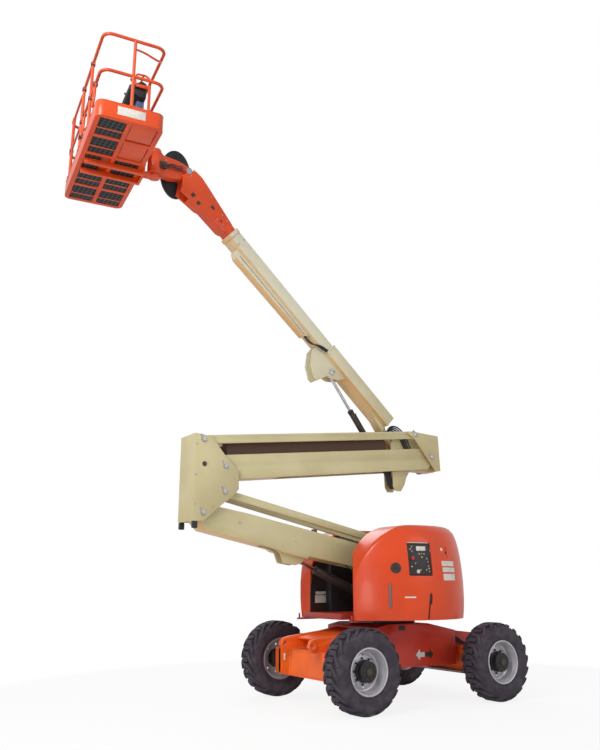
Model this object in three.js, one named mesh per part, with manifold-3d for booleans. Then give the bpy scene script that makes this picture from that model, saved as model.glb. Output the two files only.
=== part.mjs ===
// Articulating boom lift: four-wheel chassis, swinging turntable, two stacked parallelogram
// arms, a two-section telescopic boom and a self-levelling work platform.
// Millimetres, +Z up. +X is the steer-axle end, the boom works towards -X, Y = 0 is the
// machine's centre plane and Z = 0 is the ground.
import * as THREE from 'three';
import { mergeVertices } from 'three/addons/utils/BufferGeometryUtils.js';
import Module from 'manifold-3d';

const wasm = await Module();
wasm.setup();

// Clearances
const seat = 0.3;            // gap between faces that bear on each other
const pinPlay = 2.5;         // radial play of a pivot pin in its eye
const sideGap = 10;          // sideways gap between plates that turn past each other

// Chassis and wheels
const wheelbase = 2200;
const trackWidth = 2010;
const tyreDiameter = 990;
const tyreWidth = 330;
const rimDiameter = 536;
const kingpinInset = 205;    // kingpin inboard of the wheel's middle
const chassisHalfWidth = 560;
const chassisBottom = 440;
const chassisTop = 980;
const chassisFront = 820;
const chassisRear = -520;
const railHalfWidth = 350;
const railThickness = 50;
const axleHalfDepth = 140;
const axleHalfHeight = 160;

// Turntable
const slewRingRadius = 450;
const deckBottom = 1045;
const deckThickness = 75;
const deckHalfWidth = 430;
const tailRadius = 1150;
const counterweightFront = 690;
const counterweightTop = 1750;
const earInner = 168;        // inner face of the tower's pivot ears
const earThickness = 25;

// Hoods
const hoodOuter = 1130;      // half width over both hoods
const hoodInner = 440;
const hoodTop = 2225;
const hoodBottom = 1045;
const hoodTail = 930;
const hoodWall = 25;
const hoodFront = -950;
const hoodFrontWidth = 643;  // where the front edge meets the rounded side
const controlHoodSlant = 150; // how far each hood's front slants back towards the middle
const engineHoodSlant = 60;
// Radius and height of the hoods' rounded side, swept about the swing axis
const hoodProfile = [[1105, 1045], [1128, 1300], [1128, 1500], [1100, 1850], [1055, 2050],
  [1010, 2150], [950, 2205], [850, 2225]];
const controlHoodPin = [-955, -610];
const engineHoodPin = [-965, 605];

// Tower: two parallelograms, shown at their rest angles
const lowerArmLength = 3350;
const lowerArmAngle = 12;    // rises towards -X
const upperArmLength = 3460;
const upperArmAngle = 6.7;   // rises towards +X
const uprightPlate = 15;
const uprightInner = 200;    // inner face of the uprights' side plates
const rearFoot = [-2860, 2320];      // lower arm's pivot in the rear upright
const lowerLinkOffset = [290, 270];  // lower link's pivot from the lower arm's
const upperArmOffset = [290, 590];   // upper arm's pivot from the lower arm's
const upperLinkOffset = [-310, 310]; // upper link's pivot from the upper arm's
const lowerArmHalfWidth = 160;
const upperArmHalfWidth = 170;
const liftFootOffset = [-416.8, -423.5]; // tower cylinder's foot from the lower arm's
const armLugAt = [1850, 205];        // tower cylinder's eye: along and below the lower arm
const forkInner = 110;       // inner face of both arms' forks
const armWall = 9;           // plate thickness of the hollow arms
const armPinRadius = 30;
const linkPinRadius = 24;

// Telescopic boom, drawn level in its own frame with its pivot at the origin
const boomPivot = [260, 3470];
const boomAngle = 42;
const rootHalfWidth = 150;
const rootBottom = 70;
const rootTop = 245;
const rootStart = -293;
const rootEnd = -1714;
const baseHalfWidth = 120;
const baseBottom = 72;
const baseTop = 236;
const baseEnd = -3860;
const boomWall = 10;
const flyGap = 6;
const boomPinRadius = 32;
const boomLugHalfWidth = 78;
const cylinderEye = [-1460, -50];    // rod's eye in the boom's frame
const cylinderBase = [286, 2870];    // barrel's foot in the front upright

// Platform
const knucklePivot = [-3180, 6900];
const rotatorX = -3640;
const platformCentre = [-4235, 15];
const platformBottom = 6690;
const platformTurn = -6.4;
const platformLength = 2220;
const platformWidth = 800;
const toeBoardHeight = 208;
const midRailHeight = 627;
const topRailHeight = 1146;
const railRadius = 19;
const supportGap = 4;         // between the platform's side and its support
const supportDepth = 30;

const degrees = Math.PI / 180;
const deckTop = deckBottom + deckThickness;
const wheelRadius = tyreDiameter / 2;
const axleX = wheelbase / 2;
const wheelY = trackWidth / 2;
const kingpinY = wheelY - kingpinInset;

const paint = (color, roughness, metalness) =>
  new THREE.MeshStandardMaterial({ color, roughness, metalness });
const materials = {
  orange: paint(0xd4532a, 0.4, 0.1),
  red: paint(0x9c2c20, 0.5, 0.1),
  cream: paint(0xc9c19a, 0.45, 0.1),
  black: paint(0x1b1a1c, 0.7, 0.1),
  rubber: paint(0x302a33, 0.9, 0),
  silver: paint(0xa8a6ab, 0.4, 0.6),
  steel: paint(0xc8c8cc, 0.25, 0.9),
  iron: paint(0x3b3a3c, 0.6, 0.5),
};

const liftMachine = new THREE.Group();

// Solids

function solid(geometry) {
  const bare = geometry.clone();
  bare.deleteAttribute('normal');
  bare.deleteAttribute('uv');
  const merged = mergeVertices(bare, 1e-3);
  return new wasm.Manifold(new wasm.Mesh({
    numProp: 3,
    vertProperties: new Float32Array(merged.attributes.position.array),
    triVerts: new Uint32Array(merged.index.array),
  }));
}

const join = (...parts) => parts.reduce((whole, part) => whole.add(part));
const cut = (whole, ...parts) => parts.reduce((rest, part) => rest.subtract(part), whole);

function addPiece(name, body, material, parent = liftMachine) {
  const { vertProperties, triVerts } = body.getMesh();
  const geometry = new THREE.BufferGeometry();
  geometry.setAttribute('position', new THREE.BufferAttribute(vertProperties, 3));
  geometry.setIndex(new THREE.BufferAttribute(triVerts, 1));
  const mesh = new THREE.Mesh(geometry, material);
  mesh.name = name;
  parent.add(mesh);
  return mesh;
}

function block(x0, x1, y0, y1, z0, z1) {
  const box = new THREE.BoxGeometry(x1 - x0, y1 - y0, z1 - z0);
  return solid(box.translate((x0 + x1) / 2, (y0 + y1) / 2, (z0 + z1) / 2));
}

// An outline in X and Z, extruded from y0 to y1
function slab(points, y0, y1) {
  const outline = new THREE.Shape(points.map(([x, z]) => new THREE.Vector2(x, z)));
  const geometry = new THREE.ExtrudeGeometry(outline, { depth: y1 - y0, bevelEnabled: false });
  return solid(geometry.rotateX(Math.PI / 2).translate(0, y1, 0));
}

// An outline in X and Y, extruded from z0 to z1
function panel(points, z0, z1) {
  const outline = new THREE.Shape(points.map(([x, y]) => new THREE.Vector2(x, y)));
  const geometry = new THREE.ExtrudeGeometry(outline, { depth: z1 - z0, bevelEnabled: false });
  return solid(geometry.translate(0, 0, z0));
}

function bar(from, to, radius, sides = 16) {
  const a = new THREE.Vector3(...from);
  const b = new THREE.Vector3(...to);
  const way = b.clone().sub(a);
  const turn = new THREE.Quaternion().setFromUnitVectors(
    new THREE.Vector3(0, 1, 0), way.clone().normalize());
  const geometry = new THREE.CylinderGeometry(radius, radius, way.length(), sides);
  const middle = a.add(b).multiplyScalar(0.5);
  return solid(geometry.applyQuaternion(turn).translate(middle.x, middle.y, middle.z));
}

const pinY = ([x, z], radius, y0, y1, sides = 16) => bar([x, y0, z], [x, y1, z], radius, sides);

// The same solid on both sides of the centre plane
const bothSides = (make, y0, y1) => [make(y0, y1), make(-y1, -y0)];

// A revolved profile of [radius, along] points, its axis along Y
function turned(points, centre, sides = 28) {
  const profile = points.map(([r, along]) => new THREE.Vector2(r, along));
  profile.push(profile[0].clone());
  return solid(new THREE.LatheGeometry(profile, sides).translate(...centre));
}

const shifted = ([x, z], [dx, dz]) => [x + dx, z + dz];
const along = ([x, z], distance, angle, offset = 0) => [
  x + distance * Math.cos(angle) - offset * Math.sin(angle),
  z + distance * Math.sin(angle) + offset * Math.cos(angle),
];

// Tower pivots
const lowerSlope = Math.PI - lowerArmAngle * degrees;
const upperSlope = upperArmAngle * degrees;
const towerFoot = along(rearFoot, -lowerArmLength, lowerSlope);
const towerLinkFoot = shifted(towerFoot, lowerLinkOffset);
const liftFoot = shifted(towerFoot, liftFootOffset);
const rearLinkFoot = shifted(rearFoot, lowerLinkOffset);
const rearArmHead = shifted(rearFoot, upperArmOffset);
const rearLinkHead = shifted(rearArmHead, upperLinkOffset);
const frontArmHead = along(rearArmHead, upperArmLength, upperSlope);
const frontLinkHead = shifted(frontArmHead, upperLinkOffset);

const armLug = along(towerFoot, armLugAt[0], lowerSlope, armLugAt[1]);

// A bar outline between two pivots: offsets are measured square to the line between them
function beam(from, angle, edges) {
  return edges.map(([distance, offset]) => along(from, distance, angle, offset));
}

// Chassis

function makeChassis() {
  const core = slab([
    [chassisRear, chassisBottom], [chassisFront, chassisBottom], [chassisFront, 880],
    [330, chassisTop], [-330, chassisTop], [chassisRear, 940],
  ], -chassisHalfWidth, chassisHalfWidth);
  const axleTop = wheelRadius + axleHalfHeight + seat;
  const axleFace = axleX - axleHalfDepth - seat;
  const rail = (sign, reach) => {
    const outline = [
      [sign * 500, chassisBottom + 20], [sign * axleFace, chassisBottom + 20],
      [sign * axleFace, axleTop], [sign * reach, axleTop], [sign * (reach + 60), axleTop + 70],
      [sign * (reach + 30), axleTop + 150], [sign * (reach - 60), axleTop + 170],
      [sign * 800, 880], [sign * 500, 930],
    ];
    return join(...bothSides((a, b) => slab(outline, a, b),
      railHalfWidth - railThickness, railHalfWidth));
  };
  const lidShape = [[500, 900], [800, 850], [1180, 790], [1180, 810], [800, 870], [500, 920]];
  const lid = (sign) => slab(lidShape.map(([x, z]) => [sign * x, z]),
    -railHalfWidth + 10, railHalfWidth - 10);
  const eyes = [-1, 1].map((sign) =>
    pinY([sign * 1375, wheelRadius + axleHalfHeight + 85], 28, -400, 400, 16));
  const slots = bothSides((a, b) => block(-170, -60, a, b, 900, 960), 500, 600);
  const body = join(core, rail(-1, 1370), rail(1, 1370), lid(-1), lid(1));
  addPiece('chassis_frame', cut(body, ...eyes, ...slots), materials.red);
}

function makeRearAxle() {
  const low = wheelRadius - axleHalfHeight;
  const high = wheelRadius + axleHalfHeight;
  const beamEnd = kingpinY - 20;
  const body = block(-axleX - axleHalfDepth, -axleX + axleHalfDepth, -beamEnd, beamEnd, low, high);
  const ribs = bothSides((a, b) => block(-axleX - axleHalfDepth - 12, -axleX, a, b, low, high),
    380, 420);
  const stubs = bothSides((a, b) => pinY([-axleX, wheelRadius], 105, a, b),
    beamEnd - 1, kingpinY + 45);
  addPiece('rear_axle', join(body, ...ribs, ...stubs), materials.orange);
}

const yokeHalf = 80;
const yokeGap = 155;         // half the height between a yoke's two plates
const yokePlate = 40;

function makeFrontAxle() {
  const web = kingpinY - 110;
  const body = block(axleX - axleHalfDepth, axleX + axleHalfDepth, -web, web,
    wheelRadius - axleHalfHeight, wheelRadius + axleHalfHeight);
  const yokes = [];
  for (const side of [-1, 1]) {
    for (const level of [-1, 1]) {
      const z = wheelRadius + level * (yokeGap + yokePlate / 2);
      const y = side * kingpinY;
      const [low, high] = [z - yokePlate / 2, z + yokePlate / 2];
      yokes.push(block(axleX - yokeHalf, axleX + yokeHalf,
        Math.min(side * (web - 1), y), Math.max(side * (web - 1), y), low, high));
      yokes.push(bar([axleX, y, low], [axleX, y, high], yokeHalf));
    }
    const webOuter = side * (web + 10);
    yokes.push(block(axleX - yokeHalf, axleX + yokeHalf, Math.min(side * (web - 1), webOuter),
      Math.max(side * (web - 1), webOuter), wheelRadius - yokeGap - 2, wheelRadius + yokeGap + 2));
  }
  const holes = [-1, 1].map((side) => bar([axleX, side * kingpinY, wheelRadius - 300],
    [axleX, side * kingpinY, wheelRadius + 300], armPinRadius + pinPlay));
  addPiece('front_axle', cut(join(body, ...yokes), ...holes), materials.orange);
}

const steerArmReach = 210;
const steerArmBottom = 370;

function makeKnuckle(name, side) {
  const y = side * kingpinY;
  const halfHeight = yokeGap - 6;
  const pin = bar([axleX, y, wheelRadius - yokeGap - yokePlate],
    [axleX, y, wheelRadius + yokeGap + yokePlate], armPinRadius);
  const hub = bar([axleX, y, wheelRadius - halfHeight], [axleX, y, wheelRadius + halfHeight], 62);
  const spindle = bar([axleX, y, wheelRadius], [axleX, side * (kingpinY + 80), wheelRadius], 70);
  const arm = block(axleX - steerArmReach - 30, axleX, y - 25, y + 25,
    steerArmBottom, steerArmBottom + 35);
  addPiece(name, join(pin, hub, spindle, arm), materials.iron);
}

function makeTieRod() {
  const x = axleX - steerArmReach;
  const z = steerArmBottom - 30;
  const rod = bar([x, -kingpinY, z], [x, kingpinY, z], 20);
  const ends = [-kingpinY, kingpinY].map((y) => bar([x, y, z - 22], [x, y, z + 25], 26));
  addPiece('tie_rod', join(rod, ...ends), materials.steel);
}

// Wheels

function makeWheel(name, x, side) {
  const half = tyreWidth / 2;
  const bead = rimDiameter / 2;
  const centre = [x, side * wheelY, wheelRadius];
  const tyre = turned([
    [bead, -half + 25], [bead + 45, -half + 8], [bead + 110, -half], [wheelRadius - 40, -half + 12],
    [wheelRadius, -half + 45], [wheelRadius, half - 45], [wheelRadius - 40, half - 12],
    [bead + 110, half], [bead + 45, half - 8], [bead, half - 25],
  ], centre);
  addPiece(`${name}_tyre`, tyre, materials.rubber);
  const outer = bead - seat;
  const face = side * 20;      // the disc stands a little outboard of the wheel's middle
  const dish = (r, y) => [r, side * y + face];
  const profile = [
    dish(0.01, -45), dish(125, -45), dish(150, -12), [outer - 24, face - side * 12],
    [outer - 22, -side * (half - 20)], [outer, -side * (half - 20)],
    [outer, side * (half - 20)], [outer - 22, side * (half - 20)], [outer - 30, face + side * 12],
    dish(150, 12), dish(112, 18), dish(108, 96), dish(84, 120), dish(0.01, 120),
  ];
  const ordered = side > 0 ? profile : profile.reverse();
  addPiece(`${name}_rim`, revolvedRim(ordered, centre), materials.silver);
}

// A solid of revolution whose profile starts and ends on its axis
function revolvedRim(points, centre) {
  const profile = points.map(([r, y]) => new THREE.Vector2(r < 1 ? 0 : r, y));
  return solid(new THREE.LatheGeometry(profile, 28).translate(...centre));
}

// Turntable

function makeSlewRing() {
  const ring = bar([0, 0, chassisTop + seat], [0, 0, deckBottom - seat], slewRingRadius, 40);
  const bore = bar([0, 0, chassisTop - 50], [0, 0, deckBottom + 50], slewRingRadius - 120, 32);
  addPiece('slew_ring', cut(ring, bore), materials.iron);
}

const smallLugHalf = 62;             // half the inner width of a cylinder's ears

function ears([x, z], reach, half, thickness, radius, base) {
  const shape = [[x - radius - reach, base], [x + radius + reach, base],
    [x + radius, z + radius * 0.5], [x + radius * 0.5, z + radius],
    [x - radius * 0.5, z + radius], [x - radius, z + radius * 0.5]];
  return bothSides((a, b) => slab(shape, a, b), half, half + thickness);
}

const deckWingRadius = 1070;

function makeTurntable() {
  const tail = counterweightFront - seat;
  const deck = join(
    block(-1000, tail, -deckHalfWidth, deckHalfWidth, deckBottom, deckTop),
    ...[block(-690, 400, -900, -deckHalfWidth + 1, deckBottom, deckTop),
      block(-600, 400, deckHalfWidth - 1, 900, deckBottom, deckTop)].map((wing) =>
      wing.intersect(bar([0, 0, deckBottom - 5], [0, 0, deckTop + 5], deckWingRadius, 48))),
  );
  const [fx, fz] = towerFoot;
  const [lx, lz] = towerLinkFoot;
  const earShape = [[fx - 320, deckTop - 5], [lx - 40, deckTop - 5], [lx + 75, deckTop + 160],
    [lx + 70, lz + 10], [lx + 35, lz + 62], [lx - 35, lz + 62], [fx - 75, fz + 70],
    [fx - 120, fz - 20]];
  const towerEars = bothSides((a, b) => slab(earShape, a, b), earInner, earInner + earThickness);
  const footPins = bothSides((a, b) => pinY(towerFoot, armPinRadius, a, b),
    forkInner + 2, earInner + 1);
  const linkPins = bothSides((a, b) => pinY(towerLinkFoot, linkPinRadius, a, b),
    forkInner + 2, earInner + 1);
  const tie = block(fx - 200, lx - 60, -earInner - 5, earInner + 5, deckTop - 5, deckTop + 90);
  const cylinderEars = ears(liftFoot, 40, smallLugHalf, 20, 55, deckTop - 5);
  const cylinderPin = pinY(liftFoot, linkPinRadius, -smallLugHalf - 10, smallLugHalf + 10);
  const under = hoodBottom - 27;
  const hingePosts = [[controlHoodPin, -650], [engineHoodPin, -560]].flatMap(([[x, y], inboard]) => [
    bar([x, y, under], [x, y, deckTop + 500], 12),
    block(x - 20, inboard, y - 32, y + 32, under, hoodBottom - 5),
    block(inboard - 40, inboard, y - 32, y + 32, under, deckBottom + 15),
  ]);
  addPiece('turntable_frame', join(deck, ...towerEars, ...footPins, ...linkPins, tie,
    ...cylinderEars, cylinderPin, ...hingePosts), materials.red);
}

function makeCounterweight() {
  const disc = bar([0, 0, deckBottom], [0, 0, counterweightTop], tailRadius, 64);
  const front = block(-2000, counterweightFront, -2000, 2000, 0, 3000);
  const recess = block(0, towerLinkFoot[0] + 150, -deckHalfWidth + 180, deckHalfWidth - 180,
    deckBottom - 10, counterweightTop + 10);
  const between = block(0, 2000, -deckHalfWidth, deckHalfWidth, 0, 3000);
  addPiece('counterweight', cut(disc, front, recess).intersect(between), materials.orange);
}

// A hood is a shell, open below and towards the machine's middle
function hoodSolid(front, side, inset) {
  const bevel = 90;
  const low = hoodBottom - 3 * bevel;
  const top = hoodTop - inset;
  const left = front + inset;
  const right = hoodTail - inset;
  const shape = new THREE.Shape();
  shape.moveTo(left, low);
  shape.lineTo(right - 40, low);
  shape.lineTo(right, hoodBottom + 250);
  shape.lineTo(right - 120, top - 130);
  shape.quadraticCurveTo(right - 135, top, right - 265, top);
  shape.lineTo(left + 640, top - 25);
  shape.bezierCurveTo(left + 330, top - 50, left + 20, top - 300, left, top - 640);
  const depth = hoodOuter - hoodInner;
  const geometry = new THREE.ExtrudeGeometry(shape, {
    depth, bevelEnabled: true, bevelThickness: bevel, bevelSize: bevel,
    bevelOffset: -bevel, bevelSegments: 3, curveSegments: 6,
  });
  const shift = side > 0 ? hoodOuter - inset - bevel : bevel + depth - hoodOuter + inset;
  return solid(geometry.rotateX(Math.PI / 2).translate(0, shift, 0));
}

// The swept side of both hoods, and what their slanted fronts leave away
function hoodEnvelope(inset) {
  const points = [[0, 500], [hoodProfile[0][0] - inset, 500],
    ...hoodProfile.map(([r, z]) => [r - inset, z > counterweightTop ? z - inset : z]),
    [0, hoodTop - inset]];
  const profile = points.map(([r, z]) => new THREE.Vector2(r, z));
  return solid(new THREE.LatheGeometry(profile, 72).rotateX(Math.PI / 2));
}

function hoodSlant(slant, side, inset) {
  const x = hoodFront + inset * 1.2;
  return panel([[-2000, side * 2000], [x, side * 2000], [x, side * hoodFrontWidth],
    [x + slant, side * hoodInner], [x + slant, side * (hoodInner - 200)],
    [-2000, side * (hoodInner - 200)]], 0, 3000);
}

function makeHood(name, slant, side) {
  const front = hoodFront;
  const far = 3000;
  const keep = side > 0 ? block(-far, far, hoodInner, far, hoodBottom, far)
    : block(-far, far, -far, -hoodInner, hoodBottom, far);
  const outside = cut(hoodSolid(front, side, 0).intersect(hoodEnvelope(0)), hoodSlant(slant, side, 0));
  const inside = cut(hoodSolid(front, side, hoodWall).intersect(hoodEnvelope(hoodWall)),
    hoodSlant(slant, side, hoodWall));
  let shell = cut(outside.intersect(keep), inside);
  if (side < 0) {
    const panelOpening = panelBlock(0, panelDepth + 60, -120);
    const fingerNotch = block(-115, -60, -hoodOuter - 20, -hoodOuter + 16, 1070, 1380);
    shell = cut(shell, panelOpening, fingerNotch);
  }
  addPiece(name, shell, materials.orange);
}

// The ground controls lie square to a line from the swing axis
const panelTurn = -10.5;
const panelHalfWidth = 170;
const panelBottom = 1590;
const panelTop = 2000;
const panelDepth = 36;

function panelBlock(gap, depth, rise) {
  const face = -hoodProfile[2][0] + 30;
  const shape = block(-panelHalfWidth + gap, panelHalfWidth - gap, face + rise, face + depth,
    panelBottom + gap, panelTop - gap);
  return shape.rotate([0, 0, panelTurn]);
}

function makeGroundPanel() {
  addPiece('ground_control_panel', panelBlock(seat, panelDepth, 0), materials.black);
}

function makeBays() {
  const floor = deckTop + seat;
  addPiece('engine_block', block(-560, 330, 470, 840, floor, 1700), materials.iron);
  addPiece('fluid_tank', block(-680, 300, -800, -470, floor, 1560), materials.black);
  addPiece('valve_box', block(-650, -180, 290, 420, floor, 1760), materials.black);
}

// Tower

function makeLowerArm() {
  const slope = lowerSlope;
  const end = lowerArmLength;
  // distances run from the foot towards the rear upright, offsets are below the arm when positive
  const body = slab(beam(towerFoot, slope, [
    [-40, -75], [400, -150], [1000, -195], [end - 650, -160], [end - 120, -130], [end, -88],
    [end + 75, -45], [end + 75, 45], [end + 10, 90], [end - 120, 175], [2200, 165], [2115, 197],
    [2040, 305],
    [1860, 295], [1780, 255], [1720, 150], [900, 110], [400, 95], [-40, 75],
  ]), -lowerArmHalfWidth, lowerArmHalfWidth);
  const foot = pinY(towerFoot, 75, -lowerArmHalfWidth, lowerArmHalfWidth);
  const head = pinY(rearFoot, 88, -lowerArmHalfWidth, lowerArmHalfWidth);
  const slot = slab(beam(towerFoot, slope, [[-300, -400], [1150, -400], [1150, 400], [-300, 400]]),
    -forkInner, forkInner);
  const lugGap = slab(beam(towerFoot, slope, [[1650, 140], [2400, 140], [2400, 500], [1650, 500]]),
    -smallLugHalf, smallLugHalf);
  const lugSides = bothSides((a, b) => slab(beam(towerFoot, slope,
    [[1650, 185], [2400, 185], [2400, 500], [1650, 500]]), a, b), smallLugHalf + 25, 400);
  const holes = [pinY(towerFoot, armPinRadius + pinPlay, -400, 400),
    pinY(rearFoot, armPinRadius + pinPlay, -400, 400)];
  const hollow = slab(beam(towerFoot, slope, [
    [90, -80], [400, -150 + armWall], [1000, -195 + armWall], [end - 650, -160 + armWall],
    [end - 150, -125 + armWall], [end - 110, -60], [end - 110, 60], [end - 160, 165 - armWall],
    [2150, 155 - armWall],
    [1700, 150 - armWall], [900, 110 - armWall], [400, 95 - armWall], [90, 65],
  ]), -lowerArmHalfWidth + armWall, lowerArmHalfWidth - armWall);
  addPiece('lower_arm', cut(join(body, foot, head), hollow, slot, lugGap, ...lugSides, ...holes),
    materials.cream);
}

function makeLink(name, from, to, half, radius, y0, y1) {
  const length = Math.hypot(to[0] - from[0], to[1] - from[1]);
  const angle = Math.atan2(to[1] - from[1], to[0] - from[0]);
  const outline = beam(from, angle, [[0, -half], [length, -half], [length, half], [0, half]]);
  const body = slab(outline, y0, y1);
  const eyes = [from, to].map((point) => pinY(point, radius, y0, y1));
  const holes = [from, to].map((point) => pinY(point, linkPinRadius + pinPlay, y0 - 20, y1 + 20));
  const pocketY = y0 > 0 ? [y0 - 5, y1 - armWall] : [y0 + armWall, y1 + 5];
  const pocket = slab(beam(from, angle, [[80, armWall - half], [length - 80, armWall - half],
    [length - 80, half - armWall], [80, half - armWall]]), ...pocketY);
  addPiece(name, cut(join(body, ...eyes), pocket, ...holes), materials.cream);
}

function makeRearUpright() {
  const [px, pz] = rearFoot;
  const shape = [[px - 140, pz - 100], [px + 10, pz - 95], [px + 300, pz + 150], [px + 395, pz + 215],
    [px + 480, pz + 315], [px + 470, pz + 545], [px + 290, pz + 710], [px + 190, pz + 830],
    [px + 90, pz + 950], [px - 140, pz + 970]];
  const outer = uprightInner + uprightPlate;
  const plates = bothSides((a, b) => slab(shape, a, b), uprightInner, outer);
  const back = block(px - 140, px - 120, -outer + 1, outer - 1, pz - 100, pz + 970);
  const pins = [pinY(rearFoot, armPinRadius, -uprightInner - 1, uprightInner + 1),
    pinY(rearArmHead, armPinRadius, -uprightInner - 1, uprightInner + 1)];
  const linkPins = [
    ...bothSides((a, b) => pinY(rearLinkFoot, linkPinRadius, a, b), lowerLinkInner, uprightInner + 1),
    ...bothSides((a, b) => pinY(rearLinkHead, linkPinRadius, a, b), upperLinkInner, uprightInner + 1)];
  addPiece('rear_upright', join(...plates, back, ...pins, ...linkPins), materials.cream);
}

const lowerLinkInner = 112;
const lowerLinkOuter = 160;
const upperLinkInner = 156;
const upperLinkOuter = 192;
const forkStart = 830;       // along the upper arm, where its fork begins

function makeUpperArm() {
  const end = upperArmLength;
  const body = slab(beam(rearArmHead, upperSlope, [
    [-120, -60], [-60, -165], [end - 80, -170], [end, -100], [end + 80, -20], [end + 80, 60],
    [end + 20, 100], [end - 120, 140], [-40, 145], [-120, 90],
  ]), -upperArmHalfWidth, upperArmHalfWidth);
  const slot = slab(beam(rearArmHead, upperSlope,
    [[forkStart, -400], [4000, -400], [4000, 400], [forkStart, 400]]), -forkInner, forkInner);
  const holes = [rearArmHead, frontArmHead].map((p) => pinY(p, armPinRadius + pinPlay, -400, 400));
  const hollow = slab(beam(rearArmHead, upperSlope, [
    [-105, -52], [-52, -165 + armWall], [end - 160, -170 + armWall], [end - 160, 139 - armWall],
    [-35, 145 - armWall], [-105, 78],
  ]), -upperArmHalfWidth + armWall, upperArmHalfWidth - armWall);
  addPiece('upper_arm', cut(body, hollow, slot, ...holes), materials.cream);
}

function makeHoseTray() {
  const body = slab(beam(rearArmHead, upperSlope, [
    [160, 145 + seat], [2900, 141 + seat], [2900, 175], [2500, 192], [1700, 262], [850, 325],
    [160, 330],
  ]), forkInner + 4, upperLinkInner - 6);
  addPiece('arm_hose_tray', body, materials.black);
}

function makeFrontUpright() {
  const [rx, rz] = frontArmHead;
  const outer = uprightInner + uprightPlate;
  const plateShape = [[rx + 60, rz - 205], [rx + 150, rz - 195], [rx + 130, rz + 330],
    [rx - 300, rz + 352], [rx - 460, rz + 335], [rx - 455, rz + 310], [rx - 345, rz + 262]];
  const plates = bothSides((a, b) => slab(plateShape, a, b), uprightInner, outer);
  const wall = slab([[rx + 118, rz - 195], [rx + 145, rz - 195], [rx + 128, rz + 328],
    [rx + 100, rz + 328]], -outer + 1, outer - 1);
  const [bx, bz] = boomPivot;
  const [cx, cz] = cylinderBase;
  const innerShape = [[rx + 130, rz - 190], [rx + 120, rz + 300], [rx - 200, rz + 300],
    [bx + 30, bz + 88], [bx - 40, bz + 82], [bx - 84, bz + 30], [bx - 88, bz - 60],
    [cx - 100, cz + 180], [cx - 90, cz - 20], [cx - 50, cz - 85], [cx + 50, cz - 85],
    [cx + 120, cz + 10], [cx + 160, cz + 120], [cx + 240, rz - 205]];
  const innerFace = boomLugHalfWidth + sideGap;
  const inner = bothSides((a, b) => slab(innerShape, a, b), innerFace, innerFace + 12);
  const foot = block(cx + 200, rx + 125, -innerFace - 5, innerFace + 5, rz - 205, rz - 190);
  const reach = innerFace + 1;
  const pins = [pinY(boomPivot, boomPinRadius, -reach, reach),
    pinY(cylinderBase, linkPinRadius, -reach, reach),
    ...bothSides((a, b) => pinY(frontArmHead, armPinRadius, a, b), reach + 8, uprightInner + 1),
    ...bothSides((a, b) => pinY(frontLinkHead, linkPinRadius, a, b), upperLinkInner, uprightInner + 1)];
  addPiece('front_upright', join(...plates, wall, ...inner, foot, ...pins), materials.cream);
}

// A cylinder between two eyes: the barrel carries the foot eye and the rod the head eye
function makeCylinder(name, foot, head, { barrelRadius, rodRadius, barrelLength, footHalf, headHalf }) {
  const way = Math.atan2(head[1] - foot[1], head[0] - foot[0]);
  const at = (distance, origin) => {
    const [x, z] = along(origin, distance, way);
    return [x, 0, z];
  };
  const length = Math.hypot(head[0] - foot[0], head[1] - foot[1]);
  const footEye = pinY(foot, barrelRadius * 1.15, -footHalf, footHalf);
  const tube = bar(at(0, foot), at(barrelLength, foot), barrelRadius);
  const bore = bar(at(barrelRadius * 2, foot), at(barrelLength + 10, foot), rodRadius + 1.5, 16);
  const footHole = pinY(foot, linkPinRadius + pinPlay, -200, 200);
  addPiece(`${name}_barrel`, cut(join(footEye, tube), bore, footHole), materials.black);
  const rod = bar(at(barrelLength * 0.55, foot), at(length - 10, foot), rodRadius, 16);
  const headEye = pinY(head, rodRadius * 1.9, -headHalf, headHalf);
  addPiece(`${name}_rod`, join(rod, headEye), materials.steel);
}

// Boom: the pieces are drawn level and the group raises them to the rest angle

const boomFrame = new THREE.Group();
boomFrame.position.set(boomPivot[0], 0, boomPivot[1]);
boomFrame.rotation.y = boomAngle * degrees;
liftMachine.add(boomFrame);

// Half width of the slot that the boom cylinder's barrel enters with the boom raised
const boomBarrelSlot = 52;

function makeBaseBoom() {
  const root = block(rootEnd, rootStart, -rootHalfWidth, rootHalfWidth, rootBottom, rootTop);
  const base = block(baseEnd, rootEnd + 1, -baseHalfWidth, baseHalfWidth, baseBottom, baseTop);
  const lug = slab([[-640, rootBottom + 5], [rootStart, rootBottom + 5],
    [rootStart + 40, rootBottom - 30], [60, 52], [80, 0], [56, -56], [0, -80], [-60, -60],
    [-260, -30], [-480, 20]], -boomLugHalfWidth, boomLugHalfWidth);
  const bracketShape = [[-1230, rootBottom + 4], [-1300, -40], [-1390, -125], [-1470, -150],
    [-1540, -330], [-1600, -335], [-1760, -240], [-1880, -60], [-1880, rootBottom + 4]];
  const brackets = bothSides((a, b) => slab(bracketShape, a, b), 58, 83);
  const boreWidth = baseHalfWidth - boomWall;
  const bore = block(baseEnd - 10, rootEnd + 30, -boreWidth, boreWidth, baseBottom + boomWall,
    baseTop - boomWall);
  const rootBore = block(rootEnd + 20, rootStart + 10, -rootHalfWidth + boomWall,
    rootHalfWidth - boomWall, rootBottom + boomWall, rootTop - boomWall);
  const barrelSlot = block(-700, 120, -boomBarrelSlot, boomBarrelSlot, -200, -boomPinRadius - 8);
  const hole = pinY([0, 0], boomPinRadius + pinPlay, -200, 200);
  addPiece('base_boom', cut(join(root, base, lug, ...brackets), bore, rootBore, barrelSlot, hole),
    materials.cream, boomFrame);
}

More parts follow.
